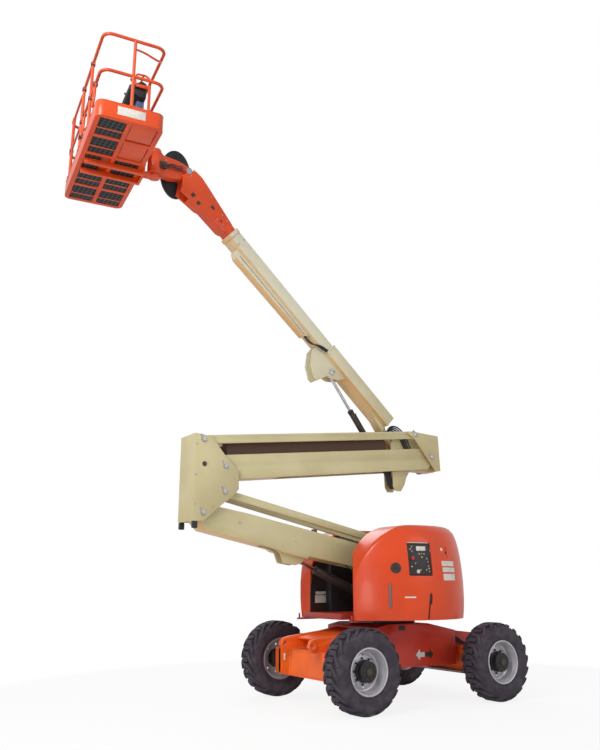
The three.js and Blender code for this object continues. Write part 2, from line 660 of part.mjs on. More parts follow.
function makeHoseCarrier() {
  const top = baseBottom - seat;
  const shape = [[-2060, top], [-2110, top - 75], [-3560, top - 110], [-3640, top - 60], [-3640, top]];
  addPiece('hose_carrier', slab(shape, -70, 70), materials.cream, boomFrame);
}

const flyHalfWidth = baseHalfWidth - boomWall - flyGap;
const flyBottom = baseBottom + boomWall + flyGap;
const flyTop = baseTop - boomWall - flyGap;
const flyWall = 8;
const flyRear = -1060;       // leaves half a metre of overlap at full reach

function makeFlyBoom() {
  const inner = block(-3980, flyRear, -flyHalfWidth, flyHalfWidth, flyBottom, flyTop);
  const head = slab([[-3930, baseBottom + 2], [-3985, baseBottom - 25], [-4350, baseBottom - 45],
    [-4400, 0], [-4720, -60], [-4770, 20], [-4850, 120], [-4860, 230], [-4800, 330],
    [-4680, 345], [-4560, 330], [-4060, baseTop + 15], [-3930, baseTop - 5]],
  -flyHalfWidth + 4, flyHalfWidth - 4);
  const fork = slab([[-4560, -200], [-5100, -200], [-5100, 500], [-4620, 500]],
    -knuckleHalf - sideGap, knuckleHalf + sideGap);
  const boreHalf = flyHalfWidth - flyWall;
  const bore = block(-3990, -900, -boreHalf, boreHalf, flyBottom + flyWall, flyTop - flyWall);
  const headBore = slab([[-3980, flyBottom + flyWall], [-4330, baseBottom - 30], [-4390, 15],
    [-4600, -10], [-4700, 60], [-4700, 300], [-4570, 315], [-4060, baseTop],
    [-3980, flyTop - flyWall]], -knuckleHalf - sideGap, knuckleHalf + sideGap);
  const padReach = flyGap - seat;
  const pads = block(flyRear, flyRear + 60, -flyHalfWidth - padReach, flyHalfWidth + padReach,
    flyBottom - padReach, flyTop + padReach);
  const padBore = block(flyRear - 10, flyRear + 70, -boreHalf, boreHalf, flyBottom + flyWall,
    flyTop - flyWall);
  const pin = pinY(knuckleLocal, boomPinRadius, -flyHalfWidth + 6, flyHalfWidth - 6);
  addPiece('fly_boom', join(cut(join(inner, head, pads), fork, bore, headBore, padBore), pin),
    materials.orange, boomFrame);
}

const knuckleHalf = 55;
const boomTurn = boomAngle * degrees;
const toBoomFrame = ([x, z]) => {
  const dx = x - boomPivot[0];
  const dz = z - boomPivot[1];
  return [dx * Math.cos(boomTurn) - dz * Math.sin(boomTurn),
    dx * Math.sin(boomTurn) + dz * Math.cos(boomTurn)];
};
const fromBoomFrame = ([x, z]) => [
  boomPivot[0] + x * Math.cos(boomTurn) + z * Math.sin(boomTurn),
  boomPivot[1] - x * Math.sin(boomTurn) + z * Math.cos(boomTurn),
];
const knuckleLocal = toBoomFrame(knucklePivot);

// Platform mounting

const rotatorRadius = 95;
const rotatorBottom = 6700;
const rotatorTop = 7110;

function makeLevelArm() {
  const [kx, kz] = knucklePivot;
  const shape = [[kx + 60, kz - 60], [kx + 70, kz + 40], [kx, kz + 85], [kx - 150, kz + 130],
    [rotatorX + 60, rotatorTop - 60], [rotatorX + 60, rotatorBottom + 60], [kx - 260, kz - 160],
    [kx - 100, kz - 130]];
  const web = slab(shape, -knuckleHalf, knuckleHalf);
  const housing = bar([rotatorX, 0, rotatorBottom + 45], [rotatorX, 0, rotatorTop - 45],
    rotatorRadius, 24);
  const hole = pinY(knucklePivot, boomPinRadius + pinPlay, -200, 200);
  const bore = bar([rotatorX, 0, 6000], [rotatorX, 0, 8000], 42 + pinPlay);
  addPiece('level_arm', cut(join(web, housing), hole, bore), materials.orange);
}

// The hoses to the platform hang in an upright loop held by a clamp on the level arm
function makeHoseLoop() {
  const ring = turned([[210, -18], [350, -18], [365, -6], [365, 6], [350, 18], [210, 18], [195, 6],
    [195, -6]], [0, 0, 0], 32).scale([0.6, 1, 1]).translate([-3290, 124, 6915]);
  const clamp = block(-3500, -3420, knuckleHalf + seat, 120, 6870, 6950);
  addPiece('hose_loop', join(ring, clamp), materials.black);
}

const platformFrame = new THREE.Group();
platformFrame.position.set(platformCentre[0], platformCentre[1], platformBottom);
platformFrame.rotation.z = platformTurn * degrees;
liftMachine.add(platformFrame);

// The rotator's axis seen from the platform's frame
const rotatorLocal = (() => {
  const point = new THREE.Vector3(rotatorX - platformCentre[0], -platformCentre[1], 0);
  return point.applyAxisAngle(new THREE.Vector3(0, 0, 1), -platformTurn * degrees);
})();

const floorFrameHeight = 45;
const floorCorner = 90;
const sheet = 5;             // thickness of the toe boards and the floor's skin

function makePlatformSupport() {
  const { x, y } = rotatorLocal;
  const side = platformWidth / 2;
  const spindle = bar([x, y, 10], [x, y, 425], 42);
  const near = side + supportGap;
  const outer = near + supportDepth;
  const lowerFork = block(outer - 10, x, y - 60, y + 60, 10, 50);
  const upperFork = block(outer - 10, x, y - 60, y + 60, 380, 420);
  const capLow = bar([x, y, 8], [x, y, 50], 80);
  const capHigh = bar([x, y, 380], [x, y, 422], 80);
  const backPlate = block(near, outer, y - 160, y + 160, -60, 430);
  const skids = [-130, 130].map((offset) => block(-side + 60, near + 5,
    y + offset - 25, y + offset + 25, -62, -seat));
  const rungs = [-1, 1].map((sign) => block(near, outer - 4, sign > 0 ? y + 100 : y - 480,
    sign > 0 ? y + 480 : y - 100, 180, 230));
  addPiece('platform_support', join(spindle, lowerFork, upperFork, capLow, capHigh, backPlate,
    ...skids, ...rungs), materials.orange, platformFrame);
}

function roundedOutline(halfX, halfY, radius) {
  const shape = new THREE.Shape();
  shape.moveTo(-halfX + radius, -halfY);
  shape.lineTo(halfX - radius, -halfY);
  shape.absarc(halfX - radius, -halfY + radius, radius, -Math.PI / 2, 0, false);
  shape.lineTo(halfX, halfY - radius);
  shape.absarc(halfX - radius, halfY - radius, radius, 0, Math.PI / 2, false);
  shape.lineTo(-halfX + radius, halfY);
  shape.absarc(-halfX + radius, halfY - radius, radius, Math.PI / 2, Math.PI, false);
  shape.lineTo(-halfX, -halfY + radius);
  shape.absarc(-halfX + radius, -halfY + radius, radius, Math.PI, Math.PI * 1.5, false);
  return shape;
}

function roundedBlock(halfX, halfY, radius, z0, z1) {
  const geometry = new THREE.ExtrudeGeometry(roundedOutline(halfX, halfY, radius),
    { depth: z1 - z0, bevelEnabled: false, curveSegments: 4 });
  return solid(geometry.translate(0, 0, z0));
}

function makePlatformFloor() {
  const halfX = platformWidth / 2;
  const halfY = platformLength / 2;
  const tub = cut(roundedBlock(halfX, halfY, floorCorner, 0, toeBoardHeight),
    roundedBlock(halfX - sheet, halfY - sheet, floorCorner - sheet, floorFrameHeight,
      toeBoardHeight + 10));
  const windows = [];
  const rows = 5;
  const gap = 55;
  const windowLength = (platformLength - 2 * 60 - (rows - 1) * gap) / rows;
  for (let row = 0; row < rows; row += 1) {
    const y0 = -halfY + 60 + row * (windowLength + gap);
    for (const side of [-1, 1]) {
      const x0 = side > 0 ? gap / 2 : -halfX + 60;
      windows.push(block(x0, x0 + halfX - 60 - gap / 2, y0, y0 + windowLength, -10,
        floorFrameHeight - sheet));
    }
  }
  addPiece('platform_floor', cut(tub, ...windows), materials.orange, platformFrame);
}

// A closed rail: four straight tubes, with two short ones cutting each corner
function railLoop(z, halfX, halfY, c) {
  const corners = [[-1, -1], [1, -1], [1, 1], [-1, 1]];
  const bars = [];
  corners.forEach(([sx, sy], index) => {
    const [tx, ty] = corners[(index + 1) % 4];
    const from = sx === tx ? [sx * halfX, sy * (halfY - c), z] : [sx * (halfX - c), sy * halfY, z];
    const to = sx === tx ? [tx * halfX, ty * (halfY - c), z] : [tx * (halfX - c), ty * halfY, z];
    bars.push(bar(from, to, railRadius, 8));
    const next = sx === tx ? [tx * (halfX - c), ty * halfY, z] : [tx * halfX, ty * (halfY - c), z];
    const middle = [tx * (halfX - c * 0.29), ty * (halfY - c * 0.29), z];
    bars.push(bar(to, middle, railRadius, 8), bar(middle, next, railRadius, 8));
    bars.push(bar([middle[0], middle[1], z - railRadius], [middle[0], middle[1], z + railRadius],
      railRadius, 8));
  });
  return bars;
}

const gateFrom = 180;        // the gate's opening along the platform's outer side
const gateTo = 860;

function makePlatformRails() {
  const halfX = platformWidth / 2 - 24;
  const halfY = platformLength / 2 - 24;
  const corner = 110;
  const bars = [...railLoop(topRailHeight - railRadius, halfX, halfY, corner),
    ...railLoop(midRailHeight, halfX, halfY, corner)];
  const foot = toeBoardHeight + seat;
  const post = (x, y) => bar([x, y, foot], [x, y, topRailHeight - railRadius], railRadius, 8);
  const posts = [[-halfX, gateFrom - 30], [-halfX, gateTo + 45], [-halfX, -420],
    [halfX, halfY - corner], [0, -halfY], [0, halfY],
    [halfX, -330], [halfX, 330]].map(([x, y]) => post(x, y));
  const opening = block(-halfX - 100, -halfX + 100, gateFrom, gateTo + 15, midRailHeight - 60,
    midRailHeight + 60);
  const topOpening = block(-halfX - 100, -halfX + 100, gateFrom, gateTo + 15, topRailHeight - 80,
    topRailHeight + 60);
  addPiece('platform_rails', cut(join(...bars, ...posts), opening, topOpening), materials.orange,
    platformFrame);
}

function makePlatformGate() {
  const x = -platformWidth / 2 + 24;
  const y0 = gateFrom + 25;
  const y1 = gateTo - 10;
  const z0 = toeBoardHeight + 30;
  const z1 = topRailHeight - railRadius;
  const frame = join(bar([x, y0, z0], [x, y0, z1], 16, 8), bar([x, y1, z0], [x, y1, z1], 16, 8),
    ...[z0 + 16, midRailHeight, z1 - 16].map((z) => bar([x, y0, z], [x, y1, z], 16, 8)));
  addPiece('platform_gate', frame, materials.orange, platformFrame);
}

function makeConsole() {
  const x = platformWidth / 2 - 24 - railRadius - seat;
  const z = topRailHeight;
  const body = slab([[x, z - 190], [x, z + 30], [x - 60, z + 60], [x - 230, z - 40],
    [x - 230, z - 110], [x - 90, z - 190]], -260, 260);
  addPiece('control_console', body, materials.black, platformFrame);
}

makeChassis();
makeRearAxle();
makeFrontAxle();
makeKnuckle('left_knuckle', 1);
makeKnuckle('right_knuckle', -1);
makeTieRod();
makeWheel('rear_left', -axleX, 1);
makeWheel('rear_right', -axleX, -1);
makeWheel('front_left', axleX, 1);
makeWheel('front_right', axleX, -1);
makeSlewRing();
makeTurntable();
makeCounterweight();
makeHood('control_hood', controlHoodSlant, -1);
makeHood('engine_hood', engineHoodSlant, 1);
makeGroundPanel();
makeBays();
makeLowerArm();
makeLink('lower_link_right', towerLinkFoot, rearLinkFoot, 45, 52, -lowerLinkOuter, -lowerLinkInner);
makeLink('lower_link_left', towerLinkFoot, rearLinkFoot, 45, 52, lowerLinkInner, lowerLinkOuter);
makeRearUpright();
makeUpperArm();
makeLink('upper_link_right', rearLinkHead, frontLinkHead, 55, 58, -upperLinkOuter, -upperLinkInner);
makeLink('upper_link_left', rearLinkHead, frontLinkHead, 55, 58, upperLinkInner, upperLinkOuter);
makeHoseTray();
makeFrontUpright();
makeCylinder('tower_cylinder', liftFoot, armLug,
  { barrelRadius: 55, rodRadius: 27, barrelLength: 1200, footHalf: 54, headHalf: 40 });
makeCylinder('boom_cylinder', cylinderBase, fromBoomFrame(cylinderEye),
  { barrelRadius: 40, rodRadius: 22, barrelLength: 1290, footHalf: 60, headHalf: 44 });
makeBaseBoom();
makeHoseCarrier();
makeFlyBoom();
makeLevelArm();
makeHoseLoop();
makePlatformSupport();
makePlatformFloor();
makePlatformRails();
makePlatformGate();
makeConsole();

export default liftMachine;
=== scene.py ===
import math

import bpy
from mathutils import Matrix, Vector


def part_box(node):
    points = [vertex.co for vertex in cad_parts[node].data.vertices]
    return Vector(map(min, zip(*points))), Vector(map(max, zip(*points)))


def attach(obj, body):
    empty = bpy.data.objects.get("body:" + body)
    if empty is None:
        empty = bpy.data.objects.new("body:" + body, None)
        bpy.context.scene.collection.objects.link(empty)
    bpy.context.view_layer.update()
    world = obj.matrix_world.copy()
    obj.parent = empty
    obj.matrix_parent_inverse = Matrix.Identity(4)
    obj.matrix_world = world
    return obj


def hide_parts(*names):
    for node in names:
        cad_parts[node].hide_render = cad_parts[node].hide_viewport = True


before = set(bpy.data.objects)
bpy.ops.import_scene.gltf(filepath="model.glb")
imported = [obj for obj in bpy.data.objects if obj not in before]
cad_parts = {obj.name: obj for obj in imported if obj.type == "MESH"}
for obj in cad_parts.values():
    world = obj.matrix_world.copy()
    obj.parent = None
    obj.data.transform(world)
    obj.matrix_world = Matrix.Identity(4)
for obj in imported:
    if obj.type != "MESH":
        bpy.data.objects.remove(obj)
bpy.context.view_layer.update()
print("frame loaded")


# Helpers for modelling by hand


def deselectAll():
    if bpy.context.object and bpy.context.object.mode != "OBJECT":
        bpy.ops.object.mode_set(mode="OBJECT")
    bpy.ops.object.select_all(action="DESELECT")


def activate(piece):
    deselectAll()
    piece.select_set(True)
    bpy.context.view_layer.objects.active = piece
    return piece


def settle(piece):  # puts the piece's place into its mesh
    activate(piece)
    bpy.ops.object.transform_apply(location=True, rotation=True, scale=True)
    return piece


def modify(piece, kind, **settings):
    activate(piece)
    modifier = piece.modifiers.new(kind.title(), kind)
    for name, value in settings.items():
        setattr(modifier, name, value)
    bpy.ops.object.modifier_apply(modifier=modifier.name)
    return piece


def smooth(piece, angle=35):
    activate(piece)
    bpy.ops.object.shade_smooth_by_angle(angle=math.radians(angle))
    return piece


def rounded(piece, width=0.004, segments=2, angle=35):
    modify(piece, "BEVEL", width=width, segments=segments, limit_method="ANGLE",
           angle_limit=math.radians(angle), use_clamp_overlap=True)
    return smooth(piece, angle)


def named(name):
    piece = bpy.context.object
    piece.name = name
    piece.data.name = name
    return piece


def box(name, low, high):
    deselectAll()
    low, high = Vector(low), Vector(high)
    bpy.ops.mesh.primitive_cube_add(size=1, location=(low + high) / 2, scale=high - low)
    return settle(named(name))


def rod(name, start, end, radius, sides=24):
    deselectAll()
    start, end = Vector(start), Vector(end)
    turn = (end - start).to_track_quat("Z", "Y").to_euler()
    bpy.ops.mesh.primitive_cylinder_add(vertices=sides, radius=radius, depth=(end - start).length,
                                        location=(start + end) / 2, rotation=turn)
    return settle(named(name))


def block(name, low, high, width=0.004, segments=2):  # a box with rounded edges
    return rounded(box(name, low, high), width, segments)


def joined(name, pieces):
    deselectAll()
    for piece in pieces:
        piece.select_set(True)
    bpy.context.view_layer.objects.active = pieces[0]
    if len(pieces) > 1:
        bpy.ops.object.join()
    return named(name)


def copied(piece, name, matrix=None):
    twin = piece.copy()
    twin.data = piece.data.copy()
    bpy.context.scene.collection.objects.link(twin)
    twin.name = name
    if matrix is not None:
        twin.data.transform(matrix)
    return twin


def carved(piece, cutter, operation="DIFFERENCE"):
    modify(piece, "BOOLEAN", object=cutter, operation=operation, solver="EXACT")
    bpy.data.objects.remove(cutter)
    return piece


def wire(name, points, closed=False, kind="POLY"):  # a line of points, for spinning or for a tube
    curve = bpy.data.curves.new(name, "CURVE")
    curve.dimensions = "3D"
    spline = curve.splines.new(kind)
    if kind == "BEZIER":
        spline.bezier_points.add(len(points) - 1)
        for knot, point in zip(spline.bezier_points, points):
            knot.co = point
            knot.handle_left_type = knot.handle_right_type = "AUTO"
    else:
        spline.points.add(len(points) - 1)
        for knot, point in zip(spline.points, points):
            knot.co = (*point, 1)
    spline.use_cyclic_u = closed
    piece = bpy.data.objects.new(name, curve)
    bpy.context.scene.collection.objects.link(piece)
    return piece


def meshed(piece):
    activate(piece)
    bpy.ops.object.convert(target="MESH")
    return bpy.context.object


def tube(name, points, radius, closed=False, kind="BEZIER", steps=6, sides=3):
    piece = wire(name, points, closed, kind)
    piece.data.bevel_depth = radius
    piece.data.bevel_resolution = sides
    piece.data.resolution_u = steps
    piece.data.use_fill_caps = not closed
    return smooth(meshed(piece), 50)


def spun(name, profile, centre=(0, 0, 0), steps=64, axis="Y"):  # profile points are (radius, along)
    put = {"Y": lambda r, a: (r, a, 0), "Z": lambda r, a: (r, 0, a)}[axis]
    piece = meshed(wire(name, [put(r, a) for r, a in profile], closed=True))
    bpy.ops.object.mode_set(mode="EDIT")
    bpy.ops.mesh.select_all(action="SELECT")
    bpy.ops.mesh.spin(steps=steps, angle=2 * math.pi, center=(0, 0, 0),
                      axis=(0, 1, 0) if axis == "Y" else (0, 0, 1))
    bpy.ops.mesh.select_all(action="SELECT")
    bpy.ops.mesh.remove_doubles(threshold=0.00005)
    bpy.ops.mesh.normals_make_consistent(inside=False)
    bpy.ops.object.mode_set(mode="OBJECT")
    piece.data.transform(Matrix.Translation(centre))
    return piece


def plate(name, outline, low, high, plane="XZ"):  # an outline extruded across the machine
    put = {"XZ": lambda u, v: (u, low, v), "XY": lambda u, v: (u, v, low), "YZ": lambda u,
           v: (low, u, v)}
    piece = meshed(wire(name, [put[plane](u, v) for u, v in outline], closed=True))
    along = {"XZ": (0, high - low, 0), "XY": (0, 0, high - low), "YZ": (high - low, 0, 0)}[plane]
    bpy.ops.object.mode_set(mode="EDIT")
    bpy.ops.mesh.select_all(action="SELECT")
    bpy.ops.mesh.edge_face_add()
    bpy.ops.mesh.extrude_region_move(TRANSFORM_OT_translate={"value": along})
    bpy.ops.mesh.select_all(action="SELECT")
    bpy.ops.mesh.normals_make_consistent(inside=False)
    bpy.ops.object.mode_set(mode="OBJECT")
    return piece


def arc(centre, radius, start, end, steps):  # points on a circle, angles in degrees
    turns = [math.radians(start + (end - start) * i / steps) for i in range(steps + 1)]
    return [(centre[0] + radius * math.cos(t), centre[1] + radius * math.sin(t)) for t in turns]


def roundedLoop(low, high, corner, radius):  # a rectangle whose corners are arcs
    (x0, y0), (x1, y1) = [v + corner for v in low], [v - corner for v in high]
    corners = (((x0, y0), 270), ((x0, y1), 180), ((x1, y1), 90), ((x1, y0), 0))
    line = []
    for centre, start in corners:
        line += arc(centre, radius, start, start - 90, 6)
    return line


# Shader maths as expressions


class Signal:
    def __init__(self, tree, socket=None):
        self.tree = tree
        self.socket = socket

    def node(self, kind, settings=None, inputs=None, out=0):
        made = self.tree.nodes.new(kind)
        for name, value in (settings or {}).items():
            setattr(made, name, value)
        for name, value in (inputs or {}).items():
            if isinstance(value, Signal):
                self.tree.links.new(value.socket, made.inputs[name])
            else:
                made.inputs[name].default_value = value
        return Signal(self.tree, made.outputs[out])

    def maths(self, operation, first, second=0.0):
        return self.node("ShaderNodeMath", {"operation": operation}, {0: first, 1: second})

    def __add__(self, other):
        return self.maths("ADD", self, other)

    def __radd__(self, other):
        return self.maths("ADD", other, self)

    def __sub__(self, other):
        return self.maths("SUBTRACT", self, other)

    def __rsub__(self, other):
        return self.maths("SUBTRACT", other, self)

    def __mul__(self, other):
        return self.maths("MULTIPLY", self, other)

    def __rmul__(self, other):
        return self.maths("MULTIPLY", other, self)

    def clamped(self, low, high):  # 0 at low, 1 at high
        return self.node("ShaderNodeMapRange", {"clamp": True},
                         {"Value": self, "From Min": low, "From Max": high})

    def noise(self, scale, detail=3.0):
        point = self.node("ShaderNodeTexCoord", out=3)
        return self.node("ShaderNodeTexNoise",
                         inputs={"Vector": point, "Scale": scale, "Detail": detail})

    def mixed(self, factor, first, second):
        return self.node("ShaderNodeMix", {"data_type": "RGBA"}, {0: factor, 6: first, 7: second},
                         out=2)

    def bumped(self, height, strength, distance):
        return self.node("ShaderNodeBump", inputs={"Height": height, "Strength": strength,
                                                   "Distance": distance})

    def axis(self, index):  # one coordinate of the point, in metres
        point = self.node("ShaderNodeTexCoord", out=3)
        return self.node("ShaderNodeSeparateXYZ", inputs={0: point}, out=index)


def tint(red, green, blue):  # a colour as it is mixed on a screen, 0 to 255
    def linear(value):
        value /= 255
        return value / 12.92 if value <= 0.04045 else ((value + 0.055) / 1.055) ** 2.4
    return (linear(red), linear(green), linear(blue), 1)


def newMaterial(name, **constants):
    material = bpy.data.materials.new(name)
    material.use_nodes = True
    surface = material.node_tree.nodes["Principled BSDF"]
    for socket, value in constants.items():
        surface.inputs[socket.replace("_", " ")].default_value = value
    return material, surface, Signal(material.node_tree)


def feed(surface, **signals):
    for socket, signal in signals.items():
        signal.tree.links.new(signal.socket, surface.inputs[socket.replace("_", " ")])


def paintMaterial(name, color, shade, roughness=0.32, dust=0.0, coat=0.12, metallic=0.0, litEnds=None,
                  groundBounce=None, high=None):
    material, surface, s = newMaterial(name, Metallic=metallic, Coat_Roughness=0.12,
                                       Coat_Weight=coat,
                                       Specular_IOR_Level=0.35)
    broad = s.noise(1.7, 3.0)
    fine = s.noise(38.0, 4.0)
    body = s.mixed(broad.clamped(0.35, 0.7), color, shade)
    if litEnds:  # painted highlight: the chassis is painted brighter towards the rear axle, the end the light falls on
        body = s.mixed((s.axis(0) * -1).clamped(0.64, 0.72), body, litEnds)
    if high:  # paler on the boom; painted light: warmer where a face looks down, standing in for warm light reflected up from the ground
        body = s.mixed(s.axis(2).clamped(3.5, 5.2) * 0.7, body, high)
        facing = s.node("ShaderNodeSeparateXYZ", inputs={0: s.node("ShaderNodeNewGeometry", out=1)},
                        out=2)
        body = s.mixed((facing * -1).clamped(0.15, 0.8) * 0.8, body, groundBounce)
    grime = (s.noise(6.0, 6.0).clamped(0.45, 0.75)) * (1 - s.axis(2).clamped(0.2, 1.4)) * dust
    body = s.mixed(grime, body, tint(120, 98, 82))
    # painted highlight: sharp edges get a pale warm tint
    edge = s.node("ShaderNodeNewGeometry", out=7).clamped(0.53, 0.6) * 0.06
    lit = s.mixed(edge, body, tint(255, 190, 150))
    rough = fine * 0.08 + (roughness - 0.04) + grime * 0.35
    feed(surface, Base_Color=lit, Roughness=rough,
         Normal=s.bumped(s.noise(420.0, 2.0), 0.06, 0.001))
    return material


paints = {
    "orange": (tint(216, 74, 24), tint(202, 62, 18)),
    "hood": (tint(214, 68, 18), tint(202, 60, 14)),
    "axle": (tint(242, 104, 14), tint(230, 90, 12)),
    "chassis": (tint(200, 40, 20), tint(178, 34, 18)),
    "deck": (tint(158, 42, 32), tint(134, 34, 30)),
    "cream": (tint(192, 182, 140), tint(180, 169, 126)),
    "black": (tint(26, 24, 26), tint(18, 17, 19)),
    "grey": (tint(118, 117, 122), tint(98, 98, 104)),
}

materials = {
    "orange": paintMaterial("orange paint", *paints["orange"], dust=0.0),
    "hood": paintMaterial("hood shell gloss", *paints["hood"], roughness=0.34, coat=0.15),
    "axle": paintMaterial("axle paint", *paints["axle"], roughness=0.36, dust=0.25),
    "chassis": paintMaterial("chassis paint", *paints["chassis"], roughness=0.36, dust=0.2,
                             litEnds=tint(236, 92, 22)),
    "deck": paintMaterial("deck paint", *paints["deck"], roughness=0.38),
    "cream": paintMaterial("cream boom paint", *paints["cream"], roughness=0.36,
                           groundBounce=tint(214, 162, 92), high=tint(206, 204, 188)),
    "black": paintMaterial("black satin paint", *paints["black"], roughness=0.42, coat=0.1),
    # painted shade: a near-black matt paint for sheets that stand in for shaded gaps
    "shade_black": paintMaterial("matt black shade paint", tint(11, 10, 11), tint(8, 7, 8), roughness=0.8,
                          coat=0.0),
    "grey": paintMaterial("grey plate", *paints["grey"], roughness=0.45, coat=0.05, metallic=0.4),
}


def rubberMaterial():
    material, surface, s = newMaterial("tyre rubber", Specular_IOR_Level=0.35)
    dusty = s.noise(9.0, 6.0).clamped(0.42, 0.72)
    fine = s.noise(140.0, 3.0)
    body = s.mixed(dusty * 0.45, tint(54, 48, 57), tint(96, 88, 96))
    feed(surface, Base_Color=body, Roughness=fine * 0.2 + 0.68,
         Normal=s.bumped(s.noise(260.0, 4.0), 0.25, 0.0015))
    return material


def silverMaterial():
    material, surface, s = newMaterial("wheel silver", Metallic=0.35)
    worn = s.noise(11.0, 6.0).clamped(0.5, 0.78)
    body = s.mixed(worn * 0.55, tint(186, 184, 190), tint(128, 122, 124))
    feed(surface, Base_Color=body, Roughness=worn * 0.25 + 0.34,
         Normal=s.bumped(s.noise(300.0, 3.0), 0.1, 0.001))
    return material


def steelMaterial(name, color, roughness, metallic=1.0):
    material, surface, s = newMaterial(name, Metallic=metallic)
    streak = s.noise(30.0, 5.0)
    body = s.mixed(streak.clamped(0.4, 0.7) * 0.4, color, tint(96, 92, 92))
    feed(surface, Base_Color=body, Roughness=streak * 0.15 + roughness,
         Normal=s.bumped(s.noise(500.0, 2.0), 0.06, 0.0008))
    return material


def plasticMaterial(name, color, other, roughness=0.5):
    material, surface, s = newMaterial(name, Specular_IOR_Level=0.45)
    body = s.mixed(s.noise(12.0, 4.0).clamped(0.4, 0.7), color, other)
    feed(surface, Base_Color=body, Roughness=s.noise(60.0, 3.0) * 0.14 + (roughness - 0.07),
         Normal=s.bumped(s.noise(700.0, 2.0), 0.12, 0.0006))
    return material


materials["rubber"] = rubberMaterial()
materials["silver"] = silverMaterial()
materials["steel"] = steelMaterial("zinc steel", tint(176, 176, 180), 0.34)
materials["chrome"] = steelMaterial("chromed rod", tint(222, 222, 226), 0.1)
materials["iron"] = steelMaterial("dark iron", tint(66, 62, 64), 0.5, 0.6)
materials["plastic"] = plasticMaterial("black plastic", tint(30, 30, 33), tint(40, 40, 44))
materials["hose"] = plasticMaterial("hose rubber", tint(28, 27, 30), tint(42, 41, 44), 0.55)
materials["red"] = plasticMaterial("red button", tint(178, 34, 28), tint(160, 28, 24), 0.35)
materials["amber"] = plasticMaterial("amber lamp", tint(232, 168, 60), tint(214, 140, 44), 0.35)
materials["blue"] = plasticMaterial("blue grey plastic", tint(98, 108, 142), tint(84, 92, 126),
                                    0.42)
materials["white"] = plasticMaterial("blank pale plate", tint(214, 208, 200), tint(196, 190, 184),
                                     0.45)


def meshMaterial():  # expanded metal over a dark opening
    material, surface, s = newMaterial("expanded metal", Metallic=0.3)
    pitch = 55.0
    x, y = s.axis(0) * pitch, s.axis(1) * pitch
    strand = s.maths("MULTIPLY", s.maths("SINE", x + y), s.maths("SINE", x - y))
    ridge = strand.clamped(-0.12, 0.35)
    body = s.mixed(ridge, tint(58, 58, 60), tint(14, 14, 15))
    feed(surface, Base_Color=body, Roughness=ridge * 0.2 + 0.5,
         Normal=s.bumped(1 - ridge, 0.5, 0.003))
    return material


def treadMaterial():
    material, surface, s = newMaterial("tread plate", Metallic=0.5)
    pitch = 110.0
    x, y = s.axis(0) * pitch, s.axis(1) * pitch
    bar = s.maths("SINE", x + y) * s.maths("SINE", x - y)
    ridge = bar.clamped(0.35, 0.6)
    worn = s.noise(5.0, 5.0).clamped(0.4, 0.7)
    feed(surface, Base_Color=s.mixed(worn * 0.5, tint(150, 150, 152), tint(110, 104, 100)),
         Roughness=worn * 0.2 + 0.35, Normal=s.bumped(ridge, 0.4, 0.002))
    return material


materials["mesh"] = meshMaterial()
materials["tread"] = treadMaterial()
print("materials made")


def painted(piece, finish):
    piece.data.materials.clear()
    piece.data.materials.append(materials[finish])
    return piece


def place(piece, body, finish):
    painted(piece, finish)
    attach(piece, body)
    return piece


def fit(name, pieces, body, finish):
    return place(joined(name, pieces), body, finish)


def refined(node, body, finish, width=0.004, segments=2, angle=30):
    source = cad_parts[node]
    twin = copied(source, node + "_finish")
    twin.parent = None
    for key in list(twin.keys()):
        if key.startswith("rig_"):
            del twin[key]
    activate(twin)
    bpy.ops.object.mode_set(mode="EDIT")
    bpy.ops.mesh.select_all(action="SELECT")
    bpy.ops.mesh.remove_doubles(threshold=0.00002)
    bpy.ops.mesh.dissolve_limited(angle_limit=math.radians(1))
    bpy.ops.object.mode_set(mode="OBJECT")
    rounded(twin, width, segments, angle)
    place(twin, body, finish)
    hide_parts(node)
    return twin


# Camera, lamps and floor

scene = bpy.context.scene
scene.view_settings.view_transform = "Standard"

viewpoint = {"place": (-6.868, -8.751, 1.496), "turn": (105.25, 0, -32.29), "lens": 36.66}
eye = bpy.data.cameras.new("camera")
eye.lens = viewpoint["lens"]
eye.sensor_width = 36
cameraObject = bpy.data.objects.new("camera", eye)
cameraObject.location = viewpoint["place"]
cameraObject.rotation_euler = [math.radians(a) for a in viewpoint["turn"]]
scene.collection.objects.link(cameraObject)
scene.camera = cameraObject

lamps = {
    "key": {"place": (-11, -5, 9), "size": 5, "watts": 800, "aim": (-1, 0, 2)},
    "fill": {"place": (4, -11, 6), "size": 7, "watts": 190, "aim": (0, 0, 2)},
    "low": {"place": (-9, -6, 0.9), "size": 3, "watts": 130, "aim": (-1, 0, 1.6)},
    "back": {"place": (2, 9, 9), "size": 6, "watts": 260, "aim": (0, 0, 3)},
}
for name, lamp in lamps.items():
    light = bpy.data.lights.new(name, "AREA")
    light.shape = "DISK"
    light.size = lamp["size"]
    light.energy = lamp["watts"]
    lightObject = bpy.data.objects.new(name, light)
    lightObject.location = lamp["place"]
    aim = Vector(lamp["aim"]) - Vector(lamp["place"])
    lightObject.rotation_euler = aim.to_track_quat("-Z", "Y").to_euler()
    scene.collection.objects.link(lightObject)

world = bpy.data.worlds.new("sky")
scene.world = world
world.use_nodes = True
w = Signal(world.node_tree)
seen = w.node("ShaderNodeLightPath", out=0)
glossy = w.node("ShaderNodeLightPath", out=3)
sky = world.node_tree.nodes["Background"]
skyStrength = w.maths("MAXIMUM", seen, glossy * 0.6) * 0.5 + 0.5
world.node_tree.links.new(skyStrength.socket, sky.inputs["Strength"])
sky.inputs["Color"].default_value = (1, 1, 1, 1)

